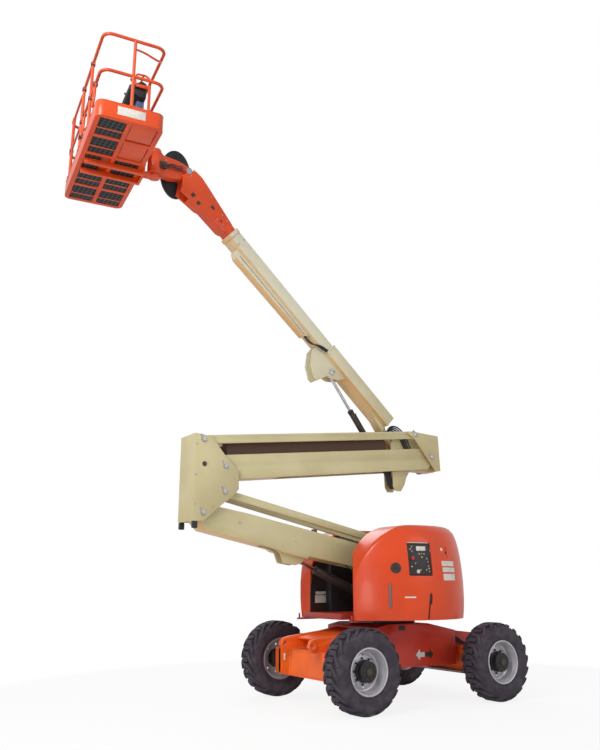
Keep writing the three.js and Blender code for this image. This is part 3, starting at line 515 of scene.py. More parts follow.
deselectAll()
bpy.ops.mesh.primitive_circle_add(vertices=96, radius=60, fill_type="NGON", location=(0, 0, 0))
floor = settle(named("floor"))
floorPaint = bpy.data.materials.new("pale floor")
floorPaint.use_nodes = True
f = Signal(floorPaint.node_tree)
floorSurface = floorPaint.node_tree.nodes["Principled BSDF"]
floorSurface.inputs["Roughness"].default_value = 0.9
floorSurface.inputs["Base Color"].default_value = (0.9, 0.9, 0.9, 1)
glow = f.node("ShaderNodeEmission", inputs={"Color": (1, 1, 1, 1), "Strength": 1.0})
flat = f.node("ShaderNodeVectorMath", {"operation": "LENGTH"},
              {0: f.node("ShaderNodeTexCoord", out=3)}, out=1)
away = f.maths("MAXIMUM", flat.clamped(2.6, 6.0), 0.85) * f.node("ShaderNodeLightPath", out=0)
blendFloor = f.node("ShaderNodeMixShader",
                    inputs={0: away, 1: Signal(f.tree, floorSurface.outputs[0]), 2: glow})
floorPaint.node_tree.links.new(blendFloor.socket,
                               floorPaint.node_tree.nodes["Material Output"].inputs["Surface"])
floor.data.materials.append(floorPaint)
print("camera, lamps and floor set")

# Plain CAD nodes with rounded edges and their own paint

refinements = {
    "chassis": {
        "chassis_frame": ("chassis", "chassis_paint"), "rear_axle": ("axle", "axle_paint"),
        "front_axle": ("axle", "axle_paint"), "slew_ring": ("iron", "bare_steel"),
    },
    "left_knuckle": {"left_knuckle": ("iron", "axle_paint")},
    "right_knuckle": {"right_knuckle": ("iron", "axle_paint")},
    "tie_rod": {"tie_rod": ("steel", "bare_steel")},
    "turntable": {
        "turntable_frame": ("deck", "deck_paint"), "counterweight": ("hood", "counterweight_iron"),
        "engine_block": ("iron", "engine_iron"), "fluid_tank": ("plastic", "black_plastic"),
        "valve_box": ("plastic", "black_steel"),
    },
    "lower_arm": {"lower_arm": ("cream", "cream_paint")},
    "lower_link": {"lower_link_left": ("cream", "cream_paint"),
                   "lower_link_right": ("cream", "cream_paint")},
    "rear_upright": {"rear_upright": ("cream", "cream_paint")},
    # the arm's hose tray takes the near-black shade paint: partly a tray, partly painted shade in
    # the gap beside the arm
    "upper_arm": {"upper_arm": ("cream", "cream_paint"), "arm_hose_tray": ("shade_black", "black_steel")},
    "upper_link": {"upper_link_left": ("cream", "cream_paint"),
                   "upper_link_right": ("cream", "cream_paint")},
    "front_upright": {"front_upright": ("cream", "cream_paint")},
    "tower_cylinder_barrel": {"tower_cylinder_barrel": ("black", "black_steel")},
    "tower_cylinder_rod": {"tower_cylinder_rod": ("chrome", "chrome_rod")},
    "boom": {"base_boom": ("cream", "cream_paint"), "hose_carrier": ("cream", "cream_paint")},
    "boom_cylinder_barrel": {"boom_cylinder_barrel": ("black", "black_steel")},
    "boom_cylinder_rod": {"boom_cylinder_rod": ("chrome", "chrome_rod")},
    "fly_boom": {"fly_boom": ("orange", "orange_paint")},
    "level_arm": {"level_arm": ("orange", "orange_paint")},
    "platform": {
        "platform_support": ("orange", "orange_paint"),
                 "platform_floor": ("orange", "platform_aluminium"),
    },
}
hingePosts = [((-1.0, -0.65, 1.10), (-0.91, -0.57, 1.7)), ((-1.0, 0.56, 1.10), (-0.92, 0.65, 1.7))]
for body, nodes in refinements.items():
    for node, (finish, slotName) in nodes.items():
        piece = refined(node, body, finish)
        if node == "turntable_frame":  # the hoods turn on short pins
            carved(piece, joined("posts", [box("post", low, high) for low, high in hingePosts]))
print("frame pieces finished")

# Wheels: one tyre, rim and hub are modelled, then copied to each corner

tyre = {"outer": 0.494, "lugs": 20, "lugDepth": 0.034}
rim = {"holes": 8, "holeCircle": 0.180, "holeRadius": 0.012, "nuts": 9, "nutCircle": 0.148,
       "screws": 8, "screwCircle": 0.080}


def makeTyre():
    carcass = spun("tyre_carcass", [
        (0.256, -0.128), (0.263, -0.136), (0.284, -0.134), (0.300, -0.142), (0.335, -0.158),
                                    (0.352, -0.155),
        (0.372, -0.160), (0.408, -0.158), (0.436, -0.151), (0.452, -0.137), (0.461, -0.110),
                                    (0.464, 0.0),
        (0.461, 0.110), (0.452, 0.137), (0.436, 0.151), (0.408, 0.158), (0.372, 0.160),
                                    (0.352, 0.155),
        (0.335, 0.158), (0.300, 0.142), (0.284, 0.134), (0.263, 0.136), (0.256, 0.128)], steps=96)
    smooth(carcass, 32)
    path = [(-0.060, 0.0, 0.030), (-0.020, 0.0, 0.030), (0.025, 0.0, 0.029), (0.052, 0.012, 0.028),
            (0.078, 0.060, 0.025), (0.104, 0.130, 0.022), (0.128, 0.200, 0.018),
            (0.146, 0.256, 0.014),
            (0.156, 0.290, 0.010)]
    deselectAll()
    bpy.ops.mesh.primitive_grid_add(x_subdivisions=len(path) - 1, y_subdivisions=2, size=2)
    lug = named("tyre_lug")
    columns = sorted({round(v.co.x, 4) for v in lug.data.vertices})
    for vertex in lug.data.vertices:  # wraps the strip round the tread along its path
        at = columns.index(round(vertex.co.x, 4))
        across, turn, half = path[at]
        before, after = path[max(at - 1, 0)], path[min(at + 1, len(path) - 1)]
        lean = math.atan2((after[1] - before[1]) * tyre["outer"], after[0] - before[0]) * 0.8
        side = vertex.co.y * half
        along = across - side * math.sin(lean)
        angle = turn + side * math.cos(lean) / tyre["outer"]
        drop = max(0.0, abs(along) - 0.085)
        radius = tyre["outer"] - drop * drop * 6.2
        vertex.co = (-radius * math.cos(angle), along, -radius * math.sin(angle))
    activate(lug)
    bpy.ops.object.mode_set(mode="EDIT")
    bpy.ops.mesh.select_all(action="SELECT")
    bpy.ops.mesh.normals_make_consistent(inside=False)
    bpy.ops.object.mode_set(mode="OBJECT")
    outward = sum(p.normal.dot(p.center) for p in lug.data.polygons) > 0
    modify(lug, "SOLIDIFY", thickness=tyre["lugDepth"], offset=-1 if outward else 1)
    rounded(lug, 0.004, 1, 40)
    pitch = 2 * math.pi / tyre["lugs"]
    flipped = copied(lug, "lug_flipped",
                     Matrix.Scale(-1, 4, (0, 1, 0)) @ Matrix.Rotation(pitch / 2, 4, "Y"))
    flipped.data.flip_normals()
    lugs = []
    for number in range(tyre["lugs"]):
        turn = Matrix.Rotation(number * pitch, 4, "Y")
        lugs += [copied(lug, "lug", turn), copied(flipped, "lug", turn)]
    bpy.data.objects.remove(lug)
    bpy.data.objects.remove(flipped)
    return joined("tyre", [carcass] + lugs)


def makeRim():
    disc = spun("rim", [
        (0.268, 0.132), (0.273, 0.140), (0.270, 0.147), (0.262, 0.149), (0.254, 0.143),
                        (0.249, 0.126),
        (0.246, 0.102), (0.237, 0.090), (0.232, 0.038), (0.222, 0.016), (0.205, 0.008),
                        (0.190, 0.014),
        (0.150, 0.022), (0.112, 0.022), (0.112, 0.010), (0.150, 0.008), (0.190, 0.000),
                        (0.210, -0.006),
        (0.226, -0.024), (0.230, -0.100), (0.246, -0.125), (0.258, -0.138), (0.268, -0.141),
        (0.272, -0.133), (0.262, -0.120), (0.241, -0.100), (0.243, 0.076), (0.255, 0.100),
        (0.262, 0.124)], steps=72)
    drills = []
    for number in range(rim["holes"]):
        turn = 2 * math.pi * number / rim["holes"]
        x, z = rim["holeCircle"] * math.cos(turn), rim["holeCircle"] * math.sin(turn)
        drills.append(rod("drill", (x, -0.05, z), (x, 0.06, z), rim["holeRadius"], 16))
    carved(disc, joined("drills", drills))
    return smooth(disc, 32)


def makeHub():
    parts = [smooth(spun("hub", [
        (0.0005, 0.1500), (0.040, 0.150), (0.044, 0.146), (0.044, 0.140), (0.062, 0.139),
                                 (0.066, 0.135),
        (0.108, 0.133), (0.118, 0.126), (0.122, 0.062), (0.130, 0.056), (0.130, 0.022),
                                 (0.106, -0.020),
        (0.106, -0.100), (0.060, -0.112), (0.0005, -0.112)], steps=48), 32)]
    for number in range(rim["screws"]):
        turn = 2 * math.pi * (number + 0.5) / rim["screws"]
        x, z = rim["screwCircle"] * math.cos(turn), rim["screwCircle"] * math.sin(turn)
        parts.append(rounded(rod("cap_screw", (x, 0.130, z), (x, 0.141, z), 0.008, 6), 0.0012, 1))
    for number in range(rim["nuts"]):
        turn = 2 * math.pi * number / rim["nuts"]
        x, z = rim["nutCircle"] * math.cos(turn), rim["nutCircle"] * math.sin(turn)
        parts.append(rounded(rod("nut", (x, 0.021, z), (x, 0.042, z), 0.013, 6), 0.002, 1))
        parts.append(rod("stud", (x, 0.040, z), (x, 0.050, z), 0.007, 10))
    return joined("hub", parts)


def makeWheels():
    parts = {"tyre": makeTyre(), "rim": makeRim(), "hub": makeHub()}
    for corner in ("rear_left", "rear_right", "front_left", "front_right"):
        low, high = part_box(corner + "_tyre")
        centre = Matrix.Translation((low + high) / 2)
        out = centre if "left" in corner else centre @ Matrix.Rotation(math.pi, 4, "Z")
        body = corner + "_wheel"
        tyrePiece = place(copied(parts["tyre"], corner + "_tread", centre), body, "rubber")
        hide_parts(corner + "_tyre")
        rimPiece = place(copied(parts["rim"], corner + "_dish", out), body, "silver")
        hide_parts(corner + "_rim")
        place(copied(parts["hub"], corner + "_hub", out), body, "black")
    for part in parts.values():
        bpy.data.objects.remove(part)


makeWheels()
print("wheels made")

# Hoods: shells with a wide rounded edge, open below and towards the machine's middle

hood = {
    "front": -0.95, "frontWidth": 0.643, "controlSlant": 0.15, "engineSlant": 0.06, "tail": 0.93,
    "inner": 0.44, "bottom": 1.045, "top": 2.25, "below": 0.27, "skin": 0.024, "voxel": 0.015,
        "soften": 16,
    "side": [(1.105, 1.045), (1.120, 1.16), (1.128, 1.30), (1.128, 1.50), (1.118, 1.68),
             (1.100, 1.85),
             (1.084, 1.95), (1.060, 2.06), (1.022, 2.16), (0.960, 2.225), (0.880, 2.25)],
}


def bezier(a, b, c, d, steps=10):
    a, b, c, d = (Vector(point) for point in (a, b, c, d))
    turns = [step / steps for step in range(1, steps + 1)]
    return [tuple(a * (1 - t) ** 3 + b * 3 * t * (1 - t) ** 2 + c * 3 * t * t * (1 - t) + d
                  * t ** 3)
            for t in turns]


def hoodOutline(inset=0.0):
    low, top, right = hood["bottom"] - hood["below"], hood["top"] - inset, hood["tail"] - inset
    left = hood["front"] + inset
    line = [(left, low), (right - 0.04, low), (right, hood["bottom"] + 0.25),
            (right - 0.12, top - 0.13)]
    line += bezier(line[-1], (right - 0.13, top - 0.043), (right - 0.178, top),
                   (right - 0.265, top))
    line.append((left + 0.70, top - 0.015))
    line += bezier(line[-1], (left + 0.34, top - 0.05), (left + 0.035, top - 0.36),
                   (left, top - 0.84), 18)
    return line


def hoodSweep(out=0.0):  # the rounded side both hoods share, swept about the swing axis
    profile = [(0.0005, 0.5), (hood["side"][0][0] + out, 0.5)]
    profile += [(radius + out, z + (out if z > 2.1 else 0)) for radius, z in hood["side"]]
    return spun("sweep", profile + [(0.0005, hood["top"] + out)], steps=120, axis="Z")


def hoodRadius(z):
    for (r0, z0), (r1, z1) in zip(hood["side"], hood["side"][1:]):
        if z <= z1:
            return r0 + (r1 - r0) * max(0, z - z0) / (z1 - z0)
    return hood["side"][-1][0]


def turned(piece, degrees):  # about the swing axis
    piece.data.transform(Matrix.Rotation(math.radians(degrees), 4, "Z"))
    return piece


def recess(cutter, depth):  # keeps only what lies outside a skin this deep
    return carved(cutter, hoodSweep(-depth))


def layer(piece, low, high):  # follows the hood's side between two heights above it
    carved(piece, hoodSweep(high), "INTERSECT")
    return smooth(carved(piece, hoodSweep(low)), 25)


def sliced(piece, point, normal):  # removes what lies on the normal's side
    activate(piece)
    bpy.ops.object.mode_set(mode="EDIT")
    bpy.ops.mesh.select_all(action="SELECT")
    bpy.ops.mesh.bisect(plane_co=point, plane_no=normal, clear_outer=True)
    bpy.ops.object.mode_set(mode="OBJECT")
    return piece


def hoodShell(name, slant, side):
    front, inboard = hood["front"], hood["inner"] - 0.2
    near, far = sorted((side * 1.3, side * inboard))
    shell = plate(name, hoodOutline(), near, far)
    carved(shell, hoodSweep(), "INTERSECT")
    wedge = [(-2, side * 2), (front, side * 2), (front, side * hood["frontWidth"]),
             (front + slant, side * hood["inner"]), (front + slant, side * (inboard - 0.1)),
             (-2, side * (inboard - 0.1))]
    carved(shell, plate("slant", wedge, 0, 3, "XY"))
    modify(shell, "REMESH", mode="VOXEL", voxel_size=hood["voxel"])
    modify(shell, "SMOOTH", factor=0.5, iterations=hood["soften"])
    sliced(shell, (0, 0, hood["bottom"]), (0, 0, -1))
    sliced(shell, (0, side * hood["inner"], 0), (0, -side, 0))
    modify(shell, "SOLIDIFY", thickness=hood["skin"], offset=-1, use_even_offset=True)
    return shell


def ellipsoid(name, centre, radii):
    deselectAll()
    bpy.ops.mesh.primitive_uv_sphere_add(segments=32, ring_count=16, location=centre, scale=radii)
    return settle(named(name))


# Ground controls lie on a leaning panel, turned a little towards the platform

groundPanel = {"turn": -10.5, "half": 0.168, "low": (-1.098, 1.592), "high": (-1.048, 1.998),
               "depth": 0.036}
fittings = {
    "latch": {"turn": 14.5, "z": 1.905, "size": (0.038, 0.030, 0.082)},
    "notch": {"turn": -4.9, "depth": 0.016, "outline": [
        (-0.035, 1.06), (-0.004, 1.06), (0.004, 1.22), (0.034, 1.25), (0.042, 1.34),
        (0.02, 1.385), (-0.006, 1.36), (-0.02, 1.24)]},
    "grip": {"turn": -32.3, "half": 0.020, "low": 1.195, "high": 1.495, "depth": 0.015, "ribs": 8},
    "emblem": {"turn": -28.2, "z": 1.682, "half": 0.068},
    "round": {"turn": 9.0, "z": 1.922, "radius": 0.021},
}
blankPlates = [(-19.2, 0.075, 1.316, 1.334), (14.4, 0.135, 1.712, 1.775),
               (14.6, 0.135, 1.637, 1.694),
               (14.6, 0.130, 1.532, 1.614)]
vents = {"count": 7, "left": -0.42, "right": 0.16, "low": 1.30, "pitch": 0.062, "depth": 0.016}


def sideBox(turn, half, low, high, side=-1):  # a block across the hood's side, at a turn
    near, far = sorted((side * 1.25, side * 1.0))
    return turned(box("block", (-half, near, low), (half, far, high)), turn)


def latchRecess(side):
    latch = fittings["latch"]
    centre = (0, side * (hoodRadius(latch["z"]) + 0.005), latch["z"])
    return turned(ellipsoid("latch", centre, latch["size"]), -side * latch["turn"])


def makeControlHood():
    shell = hoodShell("control_hood_shell", hood["controlSlant"], -1)
    half, low, high = (groundPanel["half"] + 0.004, groundPanel["low"][1] - 0.004,
                       groundPanel["high"][1] + 0.004)
    opening = box("opening", (-half, -1.3, low), (half, -0.98, high))
    turned(rounded(opening, 0.016, 3), groundPanel["turn"])
    notch, grip = fittings["notch"], fittings["grip"]
    notchCut = turned(plate("notch", notch["outline"], -1.25, -1.0), notch["turn"])
    gripCut = rounded(sideBox(grip["turn"], grip["half"], grip["low"], grip["high"]), 0.012, 3)
    cutters = [opening, latchRecess(-1), recess(notchCut, notch["depth"]),
               recess(gripCut, grip["depth"])]
    carved(shell, joined("cutters", cutters))
    smooth(shell, 30)
    place(shell, "control_hood", "hood")
    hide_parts("control_hood")
    bar = sideBox(grip["turn"], grip["half"] - 0.004, grip["low"] + 0.008, grip["high"] - 0.008)
    bars = [layer(bar, -0.0145, -0.010)]
    pitch = (grip["high"] - grip["low"] - 0.03) / grip["ribs"]
    ribs = []
    for n in range(grip["ribs"]):
        low = grip["low"] + 0.018 + n * pitch
        ribs.append(sideBox(grip["turn"], grip["half"] - 0.006, low, low + 0.013))
    bars.append(layer(joined("ribs", ribs), -0.012, -0.004))
    fit("hood_grip", bars, "control_hood", "grey")
    notchFloor = turned(plate("notch_floor", notch["outline"], -1.25, -1.0), notch["turn"])
    floorPiece = layer(notchFloor, -0.0158, -0.0135)
    latch = fittings["latch"]
    reach = -hoodRadius(latch["z"])
    z = latch["z"] - 0.02
    button = rounded(rod("latch_button", (0, reach + 0.012, z), (0, reach + 0.002, z), 0.014),
                     0.002)
    latchPieces = [floorPiece, turned(button, latch["turn"])]
    fit("hood_latch", latchPieces, "control_hood", "plastic")
    pale = [sideBox(turn, half, low, high) for turn, half, low, high in blankPlates]
    disc = fittings["round"]
    spot = rod("round_plate", (0, -1.25, disc["z"]), (0, -1.0, disc["z"]), disc["radius"], 32)
    pale.append(turned(spot, disc["turn"]))
    place(layer(joined("hood_plates", pale), -0.003, 0.0032), "control_hood", "white")
    emblem = fittings["emblem"]
    oval = rod("oval", (0, -1.25, emblem["z"]), (0, -0.9, emblem["z"]), emblem["half"], 40)
    place(layer(turned(oval, emblem["turn"]), -0.003, 0.0036), "control_hood", "black")


def ventBlocks(margin):
    return joined("slots", [
        box("slot", (vents["left"] + margin, 0.95, vents["low"] + n * vents["pitch"] + margin),
            (vents["right"] - margin, 1.25, vents["low"] + n * vents["pitch"] + 0.026 - margin))
        for n in range(vents["count"])])


def makeEngineHood():
    shell = hoodShell("engine_hood_shell", hood["engineSlant"], 1)
    carved(shell, joined("cutters", [recess(ventBlocks(0), vents["depth"]), latchRecess(1)]))
    smooth(shell, 30)
    place(shell, "engine_hood", "hood")
    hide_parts("engine_hood")
    place(layer(ventBlocks(0.003), -0.0155, -0.011), "engine_hood", "plastic")


makeControlHood()
makeEngineHood()
print("hoods made")

controls = {
    "stop": (-0.10, 1.805), "gauge": (-0.03, 1.64),
    "toggles": [(-0.10, 1.95), (-0.10, 1.89), (0.04, 1.86), (0.075, 1.86), (0.11, 1.80),
                (0.12, 1.76),
                (0.125, 1.71), (-0.065, 1.74), (0.09, 1.66), (0.13, 1.64)],
    "lamps": [(-0.12, 1.92), (0.005, 1.86), (-0.12, 1.70), (0.04, 1.82), (0.13, 1.68),
              (0.005, 1.66)],
}


def onPanel(x, z, out=0.0):  # a point on the leaning panel
    (y0, z0), (y1, z1) = groundPanel["low"], groundPanel["high"]
    return (x, y0 + (y1 - y0) * (z - z0) / (z1 - z0) - out, z)


def makeGroundControls():
    half, turn = groundPanel["half"], groundPanel["turn"]
    (y0, z0), (y1, z1) = groundPanel["low"], groundPanel["high"]
    outline = [(y0, z0), (y1, z1), (y1 + groundPanel["depth"], z1), (y0 + groundPanel["depth"], z0)]
    back = turned(rounded(plate("ground_panel", outline, -half, half, "YZ"), 0.004), turn)
    place(back, "control_hood", "plastic")
    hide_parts("ground_control_panel")
    switches, bright = [], []
    for x, z in controls["toggles"]:
        switches.append(rounded(rod("collar", onPanel(x, z), onPanel(x, z, 0.006), 0.010, 24),
                                0.0015))
        lever = rod("lever", onPanel(x, z, 0.004), onPanel(x + 0.003, z + 0.008, 0.022), 0.0035, 12)
        switches.append(rounded(lever, 0.001))
    place(turned(joined("ground_switches", switches), turn), "control_hood", "steel")
    for x, z in controls["lamps"]:
        bright.append(rounded(rod("lamp", onPanel(x, z, -0.001), onPanel(x, z, 0.006), 0.010, 24),
                              0.002))
    place(turned(joined("ground_lamps", bright), turn), "control_hood", "amber")
    x, z = controls["stop"]
    stop = [rod("stop_collar", onPanel(x, z), onPanel(x, z, 0.008), 0.020, 32),
            rounded(rod("stop_button", onPanel(x, z, 0.006), onPanel(x, z, 0.024), 0.027, 32),
                    0.006, 3)]
    place(turned(joined("ground_stop", stop), turn), "control_hood", "red")
    x, z = controls["gauge"]
    gauge = [rounded(rod("gauge", onPanel(x, z, -0.001), onPanel(x, z, 0.006), 0.024, 36), 0.002),
             block("display", onPanel(-0.03, 1.90, 0.004), onPanel(0.10, 1.955, -0.008), 0.001)]
    place(turned(joined("ground_gauge", gauge), turn), "control_hood", "white")
    edge, low, high = half - 0.008, z0 + 0.008, z1 - 0.008
    corners = [onPanel(x, z, 0.001)
               for x, z in ((-edge, low), (edge, low), (edge, high), (-edge, high))]
    surround = tube("panel_frame", corners, 0.0035, closed=True, kind="POLY")
    place(turned(surround, turn), "control_hood", "plastic")


makeGroundControls()

# Turntable bay: a black bulkhead, labels, hose runs and fittings

bay = {"face": 0.424, "back": 0.436, "hoses": 11, "lowHoses": 5, "unions": 8,
       "labels": [(-0.824, -0.628, 1.235, 1.336), (-0.814, -0.648, 1.346, 1.386)]}


def makeBay():
    outline = [(x, z) for x, z in hoodOutline(0.05) if z > 1.1 and x < 0.6]
    outline = [(hood["front"] + 0.05, 1.13), (0.59, 1.13), (0.59, hood["top"] - 0.05)] + outline
    bulkhead = rounded(plate("bay_bulkhead", outline, bay["face"], bay["back"]), 0.003)
    place(bulkhead, "turntable", "black")
    label = [block("label", (low, bay["face"] - 0.004, z), (high, bay["face"], top), 0.001)
             for low, high, z, top in bay["labels"]]
    fit("bay_plates", label, "turntable", "white")
    hoses = []
    for n in range(bay["hoses"]):
        y = 0.36 - 0.012 * n
        x = -0.62 + 0.045 * n
        low = 1.30 + 0.05 * (n % 5)
        hoses.append(tube("hose", [(x, y, 1.86 - 0.02 * n), (x + 0.10, y - 0.02, 1.80 - 0.03 * n),
                                   (x + 0.22, y - 0.03, low + 0.18), (x + 0.30, y - 0.04, low)],
                          0.008 + 0.002 * (n % 3), steps=8))
    for n in range(bay["lowHoses"]):
        z = 1.20 + 0.022 * n
        hoses.append(tube("hose",
                          [(-0.60, 0.40 - 0.01 * n, z + 0.30), (-0.40, 0.34, z + 0.06),
                           (0.0, 0.30, z),
                                   (0.35, 0.22, z + 0.08)], 0.009, steps=8))
    fit("bay_hoses", hoses, "turntable", "hose")
    unions = []
    for n in range(bay["unions"]):
        x, z = -0.60 + 0.05 * n, 1.80 - 0.02 * n
        unions.append(rounded(rod("fitting", (x, 0.385, z), (x, 0.385, z + 0.05), 0.011, 6), 0.002))
    fit("bay_fittings", unions, "turntable", "steel")


makeBay()
print("turntable bay made")

# Chassis: arrows, eye collars, axle flanges, steering cylinder

arrow = {"middle": 0.264, "height": 0.586, "length": 0.155, "half": 0.072, "stem": 0.030,
         "neck": 0.085}
chassis = {"side": 0.56, "rearAxle": -1.1, "axleHeight": 0.495, "eyes": (1.375, 0.35, 0.74)}


def makeChassisDetails():
    for side, finish in ((-1, "white"), (1, "black")):
        for flank in (-1, 1):
            x = arrow["middle"]
            stem, half, neck = arrow["stem"], arrow["half"], arrow["neck"]
            outline = [(0.004, -stem), (neck, -stem), (neck, -half), (arrow["length"], 0),
                       (neck, half),
                       (neck, stem), (0.004, stem)]
            points = [(x + side * u, arrow["height"] + v) for u, v in outline]
            low, high = sorted((flank * (chassis["side"] - 0.0001),
                                flank * (chassis["side"] + 0.0025)))
            place(rounded(plate("travel_arrow", points, low, high), 0.0008, 1), "chassis", finish)
    collars = []
    eyeX, eyeY, eyeZ = chassis["eyes"]
    for x in (-eyeX, eyeX):
        for side in (-1, 1):
            y = side * eyeY
            ring = spun("eye_collar",
                        [(0.029, 0.0), (0.029, 0.012), (0.034, 0.016), (0.056, 0.016),
                         (0.061, 0.011),
                                       (0.061, 0.0)], (x, y, eyeZ), 40)
            if side < 0:
                ring.data.transform(Matrix.Translation((0, 2 * y, 0))
                                    @ Matrix.Scale(-1, 4, (0, 1, 0)))
                ring.data.flip_normals()
            collars.append(smooth(ring, 32))
    fit("eye_collars", collars, "chassis", "chassis")
    # black plates on the chassis sides where it has holes: painted shade standing in for the dark
    # insides of the holes
    holeShades = []
    for side in (-1, 1):
        y = side * (chassis["side"] + 0.0005)
        holeShades.append(block("hole_shade", (-0.168, y - 0.0015, 0.902), (-0.062, y + 0.0015, 0.958),
                            0.001))
    fit("hole_shades", holeShades, "chassis", "plastic")
    flanges = []
    for sign in (-1, 1):
        x = -sign * chassis["rearAxle"]
        reach = 0.60 if sign < 0 else 0.52
        for low in (0.328, 0.648):
            flanges.append(block("flange", (x - 0.158, -reach, low),
                                 (x + 0.158, reach, low + 0.014), 0.005, 2))
        face = x + sign * 0.141
        for y in (-0.012, 0.012):
            flanges.append(block("seam", (face - 0.002, y - 0.009, 0.345),
                                 (face + 0.009, y + 0.009, 0.646), 0.004, 2))
    for side in (-1, 1):
        y = side * 0.606
        flanges.append(block("end_plate", (-1.262, y - 0.009, 0.322), (-0.938, y + 0.009, 0.668),
                             0.005))
    for side in (-1, 1):
        near, far = sorted((side * 0.60, side * 0.70))
        flanges.append(block("axle_end", (-1.240, near, 0.340), (-0.960, far, 0.650), 0.008))
    fit("axle_flanges", flanges, "chassis", "axle")
    bolts = []
    for n in range(7):
        for y in (-0.30, 0.30):
            x = -1.258 + 0.052 * n
            bolts.append(rounded(rod("bolt", (x, y, 0.662), (x, y, 0.674), 0.010, 6), 0.0015))
    fit("axle_bolts", bolts, "chassis", "steel")
    axlePlate = block("axle_plate", (-1.2535, 0.50, 0.51), (-1.2515, 0.545, 0.59), 0.0006)
    place(axlePlate, "chassis", "white")
    steer = [rounded(rod("steer_barrel", (1.29, -0.30, 0.46), (1.29, 0.12, 0.46), 0.036, 32),
                     0.004),
             block("steer_bracket", (1.24, -0.33, 0.42), (1.31, -0.28, 0.52), 0.004),
             block("steer_bracket", (1.24, 0.10, 0.42), (1.31, 0.14, 0.52), 0.004)]
    fit("steer_cylinder", steer, "chassis", "black")
    place(rod("steer_rod", (1.29, 0.12, 0.46), (1.29, 0.42, 0.46), 0.018, 24), "chassis", "chrome")
    hoses = []
    for n in range(4):
        y = -0.44 + 0.05 * n
        hoses.append(tube("hose",
                          [(0.80, y, 0.82 - 0.02 * n), (0.92, y - 0.03, 0.78),
                           (1.05, y - 0.05, 0.70),
                                   (1.20, y + 0.04, 0.69), (1.262, y + 0.10, 0.60),
                           (1.275, y + 0.13, 0.50)], 0.010, steps=8))
    for n in range(3):
        y = 0.30 + 0.05 * n
        hoses.append(tube("hose", [(-0.55, y, 0.70), (-0.75, y + 0.03, 0.60), (-0.94, y, 0.52)],
                          0.010, steps=8))
    fit("chassis_hoses", hoses, "chassis", "hose")


def makeHubs():  # flanges and reduction housings that carry the wheels
    for name, side in (("rear_left", 1), ("rear_right", -1)):
        housing = spun(name + "_drive",
                       [(0.0005, 0.605), (0.135, 0.605), (0.140, 0.612), (0.140, 0.640),
                        (0.112, 0.66),
                                         (0.108, 0.84), (0.100, 0.88), (0.0005, 0.88)],
                       (chassis["rearAxle"], 0, chassis["axleHeight"]), 48)
        if side < 0:
            housing.data.transform(Matrix.Scale(-1, 4, (0, 1, 0)))
            housing.data.flip_normals()
        place(smooth(housing, 32), "chassis", "iron")


makeChassisDetails()
makeHubs()
print("chassis details made")

# Pins with keeper plates, bolts and stops on the tower

tower = {
    "rearFoot": (-2.860, 2.320), "rearLinkFoot": (-2.570, 2.590), "rearArmHead": (-2.570, 2.910),
    "rearLinkHead": (-2.880, 3.220), "frontArmHead": (0.866, 3.314),
         "frontLinkHead": (0.556, 3.624),
    "arm": (0.4168, 1.6235), "link": (0.7068, 1.8935), "uprightSide": 0.215,
         "hole": (-2.862, 2.915),
    # the outline of the black sheets beside the upper arm: partly a hose guard, partly painted
    # shade
    "guard": [(0.06, 0.145), (2.65, 0.1405), (2.65, 0.270), (2.60, 0.295), (0.12, 0.295),
              (0.06, 0.240)],
}


def hexBolt(centre, axis, radius=0.011, height=0.008):
    centre, axis = Vector(centre), Vector(axis)
    return rounded(rod("bolt", centre - axis * 0.001, centre + axis * height, radius, 6),
                   radius * 0.15)


def pinHeads(name, body, points, face, lean=35, radius=0.034, reach=0.078, finish="steel"):
    parts = []
    for x, z in points:
        for side in (-1, 1):
            y = side * face
            parts.append(rounded(rod("pin_head", (x, y - side * 0.002, z), (x, y + side * 0.011, z),
                                     radius, 36), 0.003))
            low, high = sorted((y - side * 0.001, y + side * 0.006))
            keeper = block("keeper", (x - 0.014, low, z), (x + 0.014, high, z + reach), 0.004)
            spot = Vector((x, y, z))
            tilt = Matrix.Rotation(math.radians(-lean), 4, "Y")
            turn = Matrix.Translation(spot) @ tilt @ Matrix.Translation(-spot)
            keeper.data.transform(turn)
            parts += [keeper,
                      hexBolt(turn @ Vector((x, y + side * 0.006, z + reach * 0.8)), (0, side, 0))]
    return fit(name, parts, body, finish)


